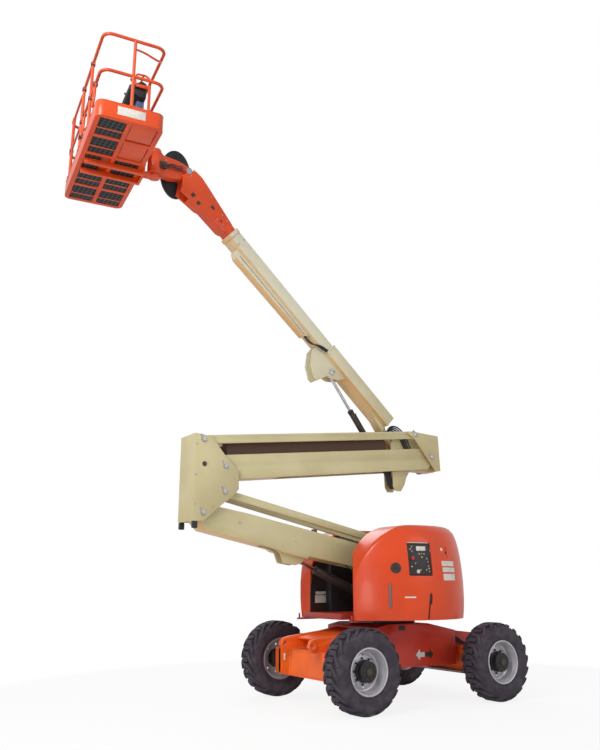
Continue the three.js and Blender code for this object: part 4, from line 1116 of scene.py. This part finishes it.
def makeTowerDetails():
    face = tower["uprightSide"]
    rearPins = [tower[name] for name in ("rearFoot", "rearLinkFoot", "rearArmHead", "rearLinkHead")]
    pinHeads("rear_upright_pins", "rear_upright", rearPins, face)
    pinHeads("front_upright_pins", "front_upright", [tower["frontArmHead"], tower["frontLinkHead"]],
             face)
    pinHeads("tower_foot_pins", "turntable", [tower["arm"], tower["link"]], 0.193)
    holes = []
    x, z = tower["hole"]
    for side in (-1, 1):
        hole = rod("hole", (x, side * (face - 0.0005), z), (x, side * (face + 0.0015), z), 0.032,
                   32)
        holes.append(rounded(hole, 0.0008))
    fit("upright_hole", holes, "rear_upright", "iron")
    ringProfile = [(0.032, face), (0.032, face + 0.004), (0.036, face + 0.006),
                   (0.041, face + 0.004), (0.041, face)]
    ring = smooth(spun("ring", ringProfile, (x, 0, z), 40), 40)
    other = copied(ring, "ring", Matrix.Scale(-1, 4, (0, 1, 0)))
    other.data.flip_normals()
    fit("upright_rings", [ring, other], "rear_upright", "cream")
    stop = [block("stop", (-2.995, low, 2.135), (-2.925, high, 2.2205), 0.012, 3)
            for low, high in ((-0.214, -0.170), (0.170, 0.214))]
    fit("rest_stop", stop, "rear_upright", "plastic")
    bolts = [hexBolt((x, side * 0.2155, z), (0, side, 0)) for side in (-1, 1)
             for x, z in ((-2.975, 2.42), (-2.975, 3.16), (-2.972, 2.78), (-2.73, 2.40))]
    fit("upright_bolts", bolts, "rear_upright", "steel")
    guide = [block("hose_guide", (-1.232, -0.152, 2.140), (-1.165, -0.110, 2.185), 0.004),
             block("hose_guide", (-1.232, 0.110, 2.140), (-1.165, 0.152, 2.185), 0.004)]
    fit("hose_guides", guide, "lower_arm", "black")
    # matt black sheets on both sides of the upper arm: partly a hose guard, partly painted shade
    # filling the dark gap between the links and the arm
    root, head = Vector(tower["rearArmHead"]), Vector(tower["frontArmHead"])
    along = (head - root).normalized()
    up = Vector((-along.y, along.x))
    outline = [tuple(root + along * a + up * b) for a, b in tower["guard"]]
    guardShades = [rounded(plate("hose_guard_shade", outline, low, high), 0.0004, 1)
              for low, high in ((-0.1555, -0.1540), (0.1540, 0.1555))]
    fit("hose_guard_shades", guardShades, "upper_arm", "shade_black")
    bosses = [rounded(rod("boss", (x, side * 0.1595, z), (x, side * 0.168, z), 0.020, 24), 0.002)
              for side in (-1, 1)
              for x, z in ((-2.33, 2.235), (-1.50, 2.02))]
    fit("arm_bosses", bosses, "lower_arm", "cream")


def makeTowerHoses():
    hoses = []
    for n in range(5):  # down in front of the cylinder's lug, inside the links
        x, y = 0.095 + 0.018 * n, -0.076 - 0.016 * (n % 2)
        hoses.append(tube("hose",
                          [(x, y, 3.09), (x + 0.005, y, 3.00), (x + 0.012, y, 2.90 - 0.004 * n),
                                   (x + 0.05, -0.075, 2.845), (0.215, -0.072, 2.87)], 0.011,
                          steps=8))
    for n in range(4):  # up to the boom's root
        y = -0.112 - 0.010 * n
        hoses.append(tube("hose",
                          [(0.42 + 0.03 * n, y, 3.42), (0.30 + 0.02 * n, y, 3.60 + 0.02 * n),
                           (0.17, y, 3.66 + 0.02 * n),
                                   (0.06 - 0.01 * n, y, 3.58)], 0.011, steps=8))
    fit("upright_hoses", hoses, "front_upright", "hose")


makeTowerDetails()
makeTowerHoses()
print("tower details made")

# Boom: bolts, cylinder glands, hoses, the fly section's openings


boom = {"pivot": (0.26, 0, 3.47), "pitch": 42, "liftPin": (-1.46, -0.05),
        "knucklePin": (-3.18, 6.90)}
boomTilt = Matrix.Translation(boom["pivot"]) @ Matrix.Rotation(math.radians(boom["pitch"]), 4, "Y")


def onBoom(x, z, y=0.0):  # a point in the level boom's frame, metres
    return tuple(boomTilt @ Vector((x, y, z)))


def tilted(piece):
    piece.data.transform(boomTilt)
    return piece


def makeBoomDetails():
    bolts = []
    for side in (-1, 1):
        bolts += [hexBolt((x, side * 0.1495, z), (0, side, 0), height=0.0035) for x, z in
                  ((-0.36, 0.10), (-0.36, 0.21), (-1.66, 0.10), (-1.66, 0.21), (-0.62, 0.11),
                   (-1.20, 0.11))]
        bolts += [hexBolt((x, side * 0.1195, z), (0, side, 0)) for x, z in
                  ((-3.80, 0.10), (-3.80, 0.21), (-3.68, 0.10), (-3.68, 0.21))]
    place(tilted(joined("boom_bolts", bolts)), "boom", "steel")
    collar = []
    for side in (-1, 1):
        low, high = sorted((side * 0.1195, side * 0.127))
        collar.append(block("collar", (-3.862, low, 0.066), (-3.80, high, 0.242), 0.004))
    collar.append(block("collar", (-3.862, -0.127, 0.2355), (-3.80, 0.127, 0.2425), 0.003))
    collar.append(block("collar", (-3.862, -0.127, 0.0655), (-3.80, 0.127, 0.0725), 0.003))
    root = [block("root_band", (-1.722, low, 0.066), (-1.70, high, 0.249), 0.004)
            for low, high in ((-0.1535, -0.1195), (0.1195, 0.1535))]
    place(tilted(joined("boom_collars", collar + root)), "boom", "cream")
    slit = [block("slit", (-3.55, side * 0.0705 - 0.001, 0.012),
                  (-2.12, side * 0.0705 + 0.001, 0.020), 0.0008)
            for side in (-1, 1)]
    place(tilted(joined("carrier_slits", slit)), "boom", "plastic")
    hoses = []
    for n in range(3):  # from the carrier into the sleeve
        y = -0.128 - 0.002 * n
        hoses.append(tube("hose",
                          [onBoom(-2.10, 0.02 - 0.012 * n, -0.05),
                           onBoom(-1.98, -0.012 - 0.01 * n, y + 0.02),
                                   onBoom(-1.86, 0.025 + 0.016 * n, -0.134),
                           onBoom(-1.70, 0.085 + 0.017 * n, -0.134)],
                          0.0085, steps=10))
    fit("boom_hoses", hoses, "boom", "hose")
    liftPins = []
    for side in (-1, 1):
        x, _, z = onBoom(*boom["liftPin"])
        liftPins += [rounded(rod("pin_head", (x, side * 0.0825, z), (x, side * 0.096, z), 0.040,
                                 36), 0.004),
                     hexBolt((x + 0.052, side * 0.083, z + 0.02), (0, side, 0))]
    fit("lift_bracket_pins", liftPins, "boom", "steel")


def makeFlyDetails():
    face = 0.1001
    # black plates where the fly boom's sides have openings: painted shade standing in for their
    # dark insides
    dark = []
    for side in (-1, 1):
        low, high = sorted((side * (face - 0.004), side * (face + 0.0008)))
        for x0, x1, z0, z1 in ((-4.31, -4.25, 0.135, 0.185), (-4.085, -4.055, 0.112, 0.138),
                               (-4.60, -4.545, 0.01, 0.075), (-4.47, -4.42, -0.005, 0.055)):
            dark.append(block("opening", (x0, low, z0), (x1, high, z1), 0.0006))
    place(tilted(joined("fly_openings", dark)), "fly_boom", "black")
    rims = []
    for side in (-1, 1):
        low, high = sorted((side * (face - 0.001), side * (face + 0.004)))
        for x0, x1, z0, z1 in ((-4.318, -4.310, 0.127, 0.193), (-4.25, -4.242, 0.127, 0.193),
                               (-4.31, -4.25, 0.127, 0.135), (-4.31, -4.25, 0.185, 0.193)):
            rims.append(block("rim", (x0, low, z0), (x1, high, z1), 0.0015, 1))
    place(tilted(joined("fly_opening_rims", rims)), "fly_boom", "orange")
    bolts = [hexBolt((x, side * 0.0998, z), (0, side, 0)) for side in (-1, 1)
             for x, z in ((-4.12, 0.20), (-4.12, 0.09), (-4.40, 0.25), (-4.02, 0.20),
                          (-4.02, 0.10))]
    place(tilted(joined("fly_bolts", bolts)), "fly_boom", "steel")
    heads = []
    for side in (-1, 1):
        y = side * 0.0995
        x, z = boom["knucklePin"]
        heads += [rounded(rod("pin_head", (x, y, z), (x, y + side * 0.010, z), 0.046, 40), 0.004),
                  hexBolt((x + 0.07, y, z + 0.03), (0, side, 0)),
                  hexBolt((x + 0.03, y, z - 0.065), (0, side, 0))]
    fit("knuckle_pin_heads", heads, "fly_boom", "steel")


cylinders = {
    "boom_cylinder": {"foot": (0.286, 2.870), "head": onBoom(*boom["liftPin"])[::2], "barrel": 1.29,
                      "radius": 0.040,
                      "rod": 0.022},
    "tower_cylinder": {"foot": (0.0, 1.2), "head": (-1.349, 2.207), "barrel": 1.20, "radius": 0.055,
                       "rod": 0.027},
}


def makeCylinders():
    for name, c in cylinders.items():
        foot = Vector((c["foot"][0], 0, c["foot"][1]))
        way = (Vector((c["head"][0], 0, c["head"][1])) - foot).normalized()
        turn = way.to_track_quat("Z", "Y").to_matrix().to_4x4()
        at = Matrix.Translation(foot) @ turn
        r, end = c["radius"], c["barrel"]
        gland = smooth(spun("gland",
                            [(c["rod"] + 0.002, end - 0.05), (r + 0.001, end - 0.052),
                             (r + 0.003, end - 0.048),
                                      (r + 0.003, end - 0.004), (r + 0.004, end + 0.004),
                             (c["rod"] + 0.008, end + 0.007),
                                      (c["rod"] + 0.002, end + 0.004)], steps=48, axis="Z"), 32)
        band = smooth(spun("band",
                           [(r - 0.001, 0.10), (r + 0.006, 0.104), (r + 0.006, 0.135),
                            (r - 0.001, 0.139)],
                           steps=48, axis="Z"), 32)
        for piece in (gland, band):
            piece.data.transform(at)
        ports = []
        for along in (0.16, end - 0.09):
            start = at @ Vector((0, r * 0.6, along))
            stop = at @ Vector((0, r + 0.022, along))
            ports.append(rounded(rod("port", start, stop, 0.014, 6), 0.002))
        route = ((0.018, 0.16), (0.016, 0.24), (0.014, end * 0.5), (0.016, end - 0.16),
                 (0.018, end - 0.09))
        line = tube("line", [at @ Vector((0, r + out, along)) for out, along in route], 0.006,
                    steps=10)
        fit(name + "_gland", [gland, band] + ports + [line], name + "_barrel", "black")
        bosses = []
        for side in (-1, 1):
            boss = rod("eye_boss", (foot.x, side * 0.040, foot.z), (foot.x, side * 0.052, foot.z),
                       0.044, 36)
            bosses.append(rounded(boss, 0.003))
        fit(name + "_eye", bosses, name + "_barrel", "black")


makeBoomDetails()
makeFlyDetails()
makeCylinders()
print("boom details made")

# The upright hose loop beside the knuckle

loop = {"centre": (-3.29, 0.124, 6.915), "flat": 0.6, "outer": 0.352, "inner": 0.05, "hose": 0.0115,
        "pitch": 0.0205, "steps": 48}
rotator = {"x": -3.64, "top": 7.062, "bottom": 6.748, "bolts": 8, "boltCircle": 0.080}


def makeHoseLoop():
    rings = []
    radius, number = loop["outer"], 0
    while radius > loop["inner"]:
        for side in (-1, 1):
            wave = 0.0015 * math.sin(number * 2.3 + side)
            x, y, z = loop["centre"]
            turns = [2 * math.pi * step / loop["steps"] for step in range(loop["steps"])]
            points = [(x + loop["flat"] * radius * math.cos(t), y + side * 0.0085 + wave,
                       z + radius * math.sin(t)) for t in turns]
            rings.append(tube("ring", points, loop["hose"], closed=True, kind="POLY", sides=2))
        radius -= loop["pitch"]
        number += 1
    coil = fit("hose_coil", rings, "level_arm", "hose")
    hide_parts("hose_loop")
    clamp = [block("clamp", (-3.50, 0.0553, 6.87), (-3.42, 0.118, 6.95), 0.005),
             block("clamp_cap", (-3.505, 0.104, 6.862), (-3.415, 0.1455, 6.958), 0.006)]
    for x, z in ((-3.49, 6.885), (-3.43, 6.935)):
        clamp.append(hexBolt((x, 0.1455, z), (0, 1, 0), 0.007, 0.005))
    fit("loop_clamp", clamp, "level_arm", "black")


def makeLevelArmDetails():
    caps = []
    for z, turn in ((rotator["top"], 1), (rotator["bottom"], -1)):
        caps.append(smooth(spun("cap",
                                [(0.045, 0.0), (0.098, 0.0), (0.102, 0.005), (0.102, 0.022),
                                 (0.096, 0.027),
                                        (0.045, 0.027)],
                                (rotator["x"], 0, z - (0.0245 if turn > 0 else 0.0025)), 48, "Z"),
                           32))
    fit("rotator_caps", caps, "level_arm", "orange")
    bolts = []
    for step in range(rotator["bolts"]):
        turn = 2 * math.pi * step / rotator["bolts"]
        x = rotator["x"] + rotator["boltCircle"] * math.cos(turn)
        y = rotator["boltCircle"] * math.sin(turn)
        bolts += [hexBolt((x, y, rotator["top"] + 0.0015), (0, 0, 1), 0.008, 0.004),
                  hexBolt((x, y, rotator["bottom"] - 0.0015), (0, 0, -1), 0.008, 0.004)]
    for side in (-1, 1):
        for x, z in ((-3.50, 6.98), (-3.50, 6.84), (-3.28, 6.99), (-3.25, 6.83)):
            bolts.append(hexBolt((x, side * 0.0548, z), (0, side, 0), 0.010, 0.007))
    fit("rotator_bolts", bolts, "level_arm", "steel")
    valve = [block("valve", (-3.60, -0.10, 6.84), (-3.50, -0.056, 6.93), 0.005),
             block("valve", (-3.585, -0.118, 6.86), (-3.52, -0.10, 6.91), 0.004)]
    hose = [tube("hose",
                 [(-3.50, -0.085, 6.90 - 0.02 * n), (-3.42, -0.09, 6.93 - 0.02 * n),
                  (-3.33, -0.08, 6.93 - 0.03 * n),
                          (-3.26, -0.07, 6.95 - 0.03 * n)], 0.007, steps=8) for n in range(3)]
    fit("rotator_valve", valve, "level_arm", "black")
    fit("rotator_hoses", hose, "level_arm", "hose")


makeHoseLoop()
makeLevelArmDetails()
print("hose loop and rotator made")

# Platform: bent tube rails, mesh floor, console with its guard

platform = {"centre": (-4.235, 0.015, 6.69), "turn": -6.4, "halfX": 0.40, "halfY": 1.11,
            "inset": 0.024,
            "toe": 0.208, "mid": 0.627, "top": 1.127, "tube": 0.0205, "corner": 0.11,
            "gate": (0.18, 0.86)}
openings = {"rows": 5, "gap": 0.055, "edge": 0.06, "split": 0.58}
platformTurn = Matrix.Rotation(math.radians(platform["turn"]), 4, "Z")
platformPlace = Matrix.Translation(platform["centre"]) @ platformTurn


def onPlatform(piece, name, finish, body="platform"):
    piece.data.transform(platformPlace)
    piece.name = name
    return place(piece, body, finish)


def fitPlatform(name, pieces, finish, body="platform"):
    return onPlatform(joined(name, pieces), name, finish, body)


def railPath(z, closedLoop=False):
    x, y = platform["halfX"] - platform["inset"], platform["halfY"] - platform["inset"]
    c = platform["corner"]
    path = [(-x, platform["gate"][1] + 0.015)] if not closedLoop else []
    path += arc((-x + c, y - c), c, 180, 90, 8) + arc((x - c, y - c), c, 90, 0, 8)
    path += arc((x - c, -y + c), c, 0, -90, 8) + arc((-x + c, -y + c), c, -90, -180, 8)
    path += [(-x, platform["gate"][0])] if not closedLoop else []
    return [(u, v, z) for u, v in path]


def makeRails():
    x, y = platform["halfX"] - platform["inset"], platform["halfY"] - platform["inset"]
    r = platform["tube"]
    bars = [tube("rail", railPath(level), r, kind="POLY", sides=3)
            for level in (platform["mid"], platform["top"])]
    posts = ((-x, 0.15), (-x, 0.905), (-x, -0.42), (x, y - 0.11), (0, -y), (0, y), (x, -0.33),
             (x, 0.33))
    for px, py in posts:
        bars.append(smooth(rod("post", (px, py, platform["toe"] + 0.001), (px, py, platform["top"]),
                               r * 0.92, 20), 50))
    bars.append(tube("short_rail",
                     [(0, -y + 0.004, platform["top"] - 0.115),
                      (0.10, -y + 0.016, platform["top"] - 0.117),
                                    (x - 0.06, -y + 0.10, platform["top"] - 0.113),
                      (x - 0.008, -y + 0.19, platform["top"] - 0.03)],
                     0.013, steps=8))
    for py in (-0.06, -0.74):  # narrow drop loops on the outer side
        bars.append(tube("drop_loop",
                         [(-x - 0.004, py - 0.045, platform["mid"]), (-x - 0.012, py - 0.045, 0.36),
                                       (-x - 0.014, py, 0.315), (-x - 0.012, py + 0.045, 0.36),
                                       (-x - 0.004, py + 0.045, platform["mid"])], 0.0125, steps=8))
    fitPlatform("rail_tubes", bars, "orange")
    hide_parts("platform_rails")
    half, low, high = 0.032, platform["toe"] - 0.002, platform["toe"] + 0.010
    feet = [block("foot", (px - half, py - half, low), (px + half, py + half, high), 0.004)
            for px, py in posts]
    fitPlatform("post_feet", feet, "orange")
    clamps = []
    mid, top = platform["mid"], platform["top"]
    for py, pz in ((0.15, mid), (0.15, top), (0.905, mid), (-0.42, mid), (-0.06, mid), (-0.74, mid),
                   (-0.42, top),
                   (0.15, 0.40)):
        low, high = (-x - 0.026, py - 0.020, pz - 0.028), (-x + 0.026, py + 0.020, pz + 0.028)
        clamps.append(block("clamp", low, high, 0.005))
    fitPlatform("rail_clamps", clamps, "plastic")


def makeGate():
    x = -platform["halfX"] + platform["inset"]
    y0, y1 = platform["gate"][0] + 0.025, platform["gate"][1] - 0.010
    z0, z1 = platform["toe"] + 0.046, platform["top"] - 0.016
    path = roundedLoop((y0, z0), (y1, z1), 0.07, 0.07)
    bars = [tube("gate_frame", [(x, u, v) for u, v in path], 0.0165, closed=True, kind="POLY"),
            smooth(rod("gate_rail", (x, y0, platform["mid"]), (x, y1, platform["mid"]), 0.0155, 20),
                   50)]
    gate = fitPlatform("gate_tubes", bars, "orange", body="platform_gate")
    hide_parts("platform_gate")
    latch = [block("latch", (x - 0.014, y0 - 0.030, 0.70), (x + 0.014, y0 + 0.012, 0.76), 0.004),
             rounded(rod("hinge", (x, y1 + 0.018, 0.36), (x, y1 + 0.018, 0.44), 0.012, 20), 0.002),
             rounded(rod("hinge", (x, y1 + 0.018, 0.86), (x, y1 + 0.018, 0.94), 0.012, 20), 0.002)]
    fitPlatform("gate_latch", latch, "steel", "platform_gate")


def makeFloor():
    rows, gap, edge = openings["rows"], openings["gap"], openings["edge"]
    halfX, halfY = platform["halfX"], platform["halfY"]
    length = (2 * halfY - 2 * edge - (rows - 1) * gap) / rows
    meshes, bars = [], []
    for row in range(rows):
        y0 = -halfY + edge + row * (length + gap)
        for side in (-1, 1):
            x0 = gap / 2 if side > 0 else -halfX + edge
            x1 = x0 + halfX - edge - gap / 2
            if side > 0 and row < 2:
                continue
            if side < 0 and row == 2:
                x1 -= 0.10
            mesh = box("mesh", (x0 + 0.008, y0 + 0.008, 0.006),
                       (x1 - 0.008, y0 + length - 0.008, 0.012))
            meshes.append(rounded(mesh, 0.001))
            split = y0 + length * openings["split"]
            bar = box("mesh_bar", (x0 + 0.002, split - 0.012, 0.002),
                      (x1 - 0.002, split + 0.012, 0.0055))
            bars.append(rounded(bar, 0.001))
    fitPlatform("floor_mesh", meshes, "mesh")
    fitPlatform("floor_bars", bars, "orange")
    plates = [block("floor_plate", (0.035, -halfY + 0.07, 0.004),
                    (halfX - 0.07, -halfY + 0.40, 0.010), 0.003),
              block("floor_plate", (0.035, -halfY + 0.50, 0.004),
                    (halfX - 0.07, -halfY + 0.84, 0.010), 0.003)]
    fitPlatform("floor_plates", plates, "orange")
    line = roundedLoop((-halfX, -halfY), (halfX, halfY), 0.09, 0.088)
    lip = tube("toe_lip", [(u, v, platform["toe"] - 0.003) for u, v in line], 0.0055, closed=True,
               kind="POLY", sides=2)
    onPlatform(lip, "toe_lip", "orange")
    tread = block("tread", (-halfX + 0.03, -halfY + 0.03, 0.0452),
                  (halfX - 0.03, halfY - 0.03, 0.0475), 0.001)
    onPlatform(tread, "floor_tread", "tread")
    endPlate = block("end_plate", (-0.16, -halfY - 0.0025, 0.055), (0.17, -halfY + 0.001, 0.165),
                     0.001)
    onPlatform(endPlate, "end_plate", "white")


def makeConsole():
    x = platform["halfX"] - platform["inset"] - 0.0195
    top = 1.146
    shell = plate("console_shell",
                  [(x, top - 0.19), (x, top + 0.03), (x - 0.06, top + 0.06), (x - 0.23, top - 0.04),
                                    (x - 0.23, top - 0.11), (x - 0.09, top - 0.19)], -0.26, 0.26)
    rounded(shell, 0.014, 3)
    shell = onPlatform(shell, "console_shell", "plastic")
    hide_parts("control_console")
    base = [block("console_box", (x - 0.10, -0.17, top - 0.52), (x - 0.003, 0.13, top - 0.188),
                  0.010, 3),
            block("console_foot", (x - 0.09, -0.10, 0.209), (x - 0.01, 0.08, top - 0.515), 0.006)]
    fitPlatform("console_box", base, "blue")
    slope = Vector((-0.17, 0, -0.10)).normalized()
    up = Vector((slope.z, 0, -slope.x))
    origin = Vector((x - 0.06, 0, top + 0.06))
    sticks, caps = [], []
    for y in (-0.17, 0.17):
        foot = origin + slope * 0.095 + Vector((0, y, 0))
        bootProfile = [(0.0005, 0.026), (0.010, 0.026), (0.014, 0.018), (0.022, 0.010),
                       (0.028, 0.0), (0.0005, 0.0)]
        sticks.append(smooth(spun("boot", bootProfile, foot, 24, "Z"), 40))
        sticks.append(rounded(rod("stick", foot + up * 0.02, foot + up * 0.085, 0.006, 16), 0.001))
        sticks.append(rounded(rod("grip", foot + up * 0.075, foot + up * 0.115, 0.014, 20), 0.006,
                              3))
    for y in (-0.10, -0.06, -0.02, 0.04, 0.08):
        foot = origin + slope * 0.13 + Vector((0, y, 0))
        caps.append(rounded(rod("toggle", foot, foot + up * 0.022, 0.004, 12), 0.001))
        caps.append(rounded(rod("collar", foot - up * 0.002, foot + up * 0.004, 0.009, 20), 0.001))
    foot = origin + slope * 0.06
    knob = rounded(rod("stop", foot, foot + up * 0.030, 0.022, 28), 0.006, 3)
    fitPlatform("console_sticks", sticks, "plastic")
    fitPlatform("console_toggles", caps, "steel")
    onPlatform(knob, "console_stop", "red")
    guard = [tube("guard",
                  [(0.20, y, 1.10), (0.196, y, 1.22), (0.215, y, 1.262), (0.26, y, 1.272),
                   (0.34, y, 1.268),
                            (0.376, y, 1.235), (0.376, y, 1.12)], 0.0135, steps=8)
             for y in (-0.285, 0.285)]
    guard.append(block("guard_plate", (0.20, -0.296, 1.078), (0.372, -0.276, 1.125), 0.004))
    guard.append(block("guard_plate", (0.20, 0.276, 1.078), (0.372, 0.296, 1.125), 0.004))
    guard.append(smooth(rod("guard_bar", (0.30, -0.285, 1.271), (0.30, 0.285, 1.271), 0.012, 20),
                        50))
    fitPlatform("console_guard", guard, "orange")
    cable = [tube("cable",
                  [(0.33, -0.13 + 0.03 * n, 0.70), (0.30, -0.12 + 0.03 * n, 0.52),
                   (0.34, -0.06 + 0.02 * n, 0.34),
                            (0.37, 0.0, 0.235)], 0.007, steps=8) for n in range(3)]
    fitPlatform("console_cables", cable, "hose")


def makeSupportDetails():
    bolts = []
    for y in (-0.10, 0.02, 0.14, 0.20):
        for z in (0.10, 0.30):
            bolts.append(hexBolt((0.4335, y, z), (1, 0, 0), 0.011, 0.006))
    fitPlatform("support_bolts", bolts, "steel")
    braces = []
    for y in (-0.20, 0.30):
        braces.append(smooth(rod("brace", (0.408, y, 0.02), (0.418, y * 0.6 + 0.03, 0.36), 0.012,
                                 16), 50))
    fitPlatform("support_braces", braces, "orange")
    label = block("blank_plate", (0.4335, -0.10, 0.18), (0.4355, -0.02, 0.26), 0.001)
    onPlatform(label, "support_plate", "white")


makeRails()
makeGate()
makeFloor()
makeConsole()
makeSupportDetails()
print("platform details made")
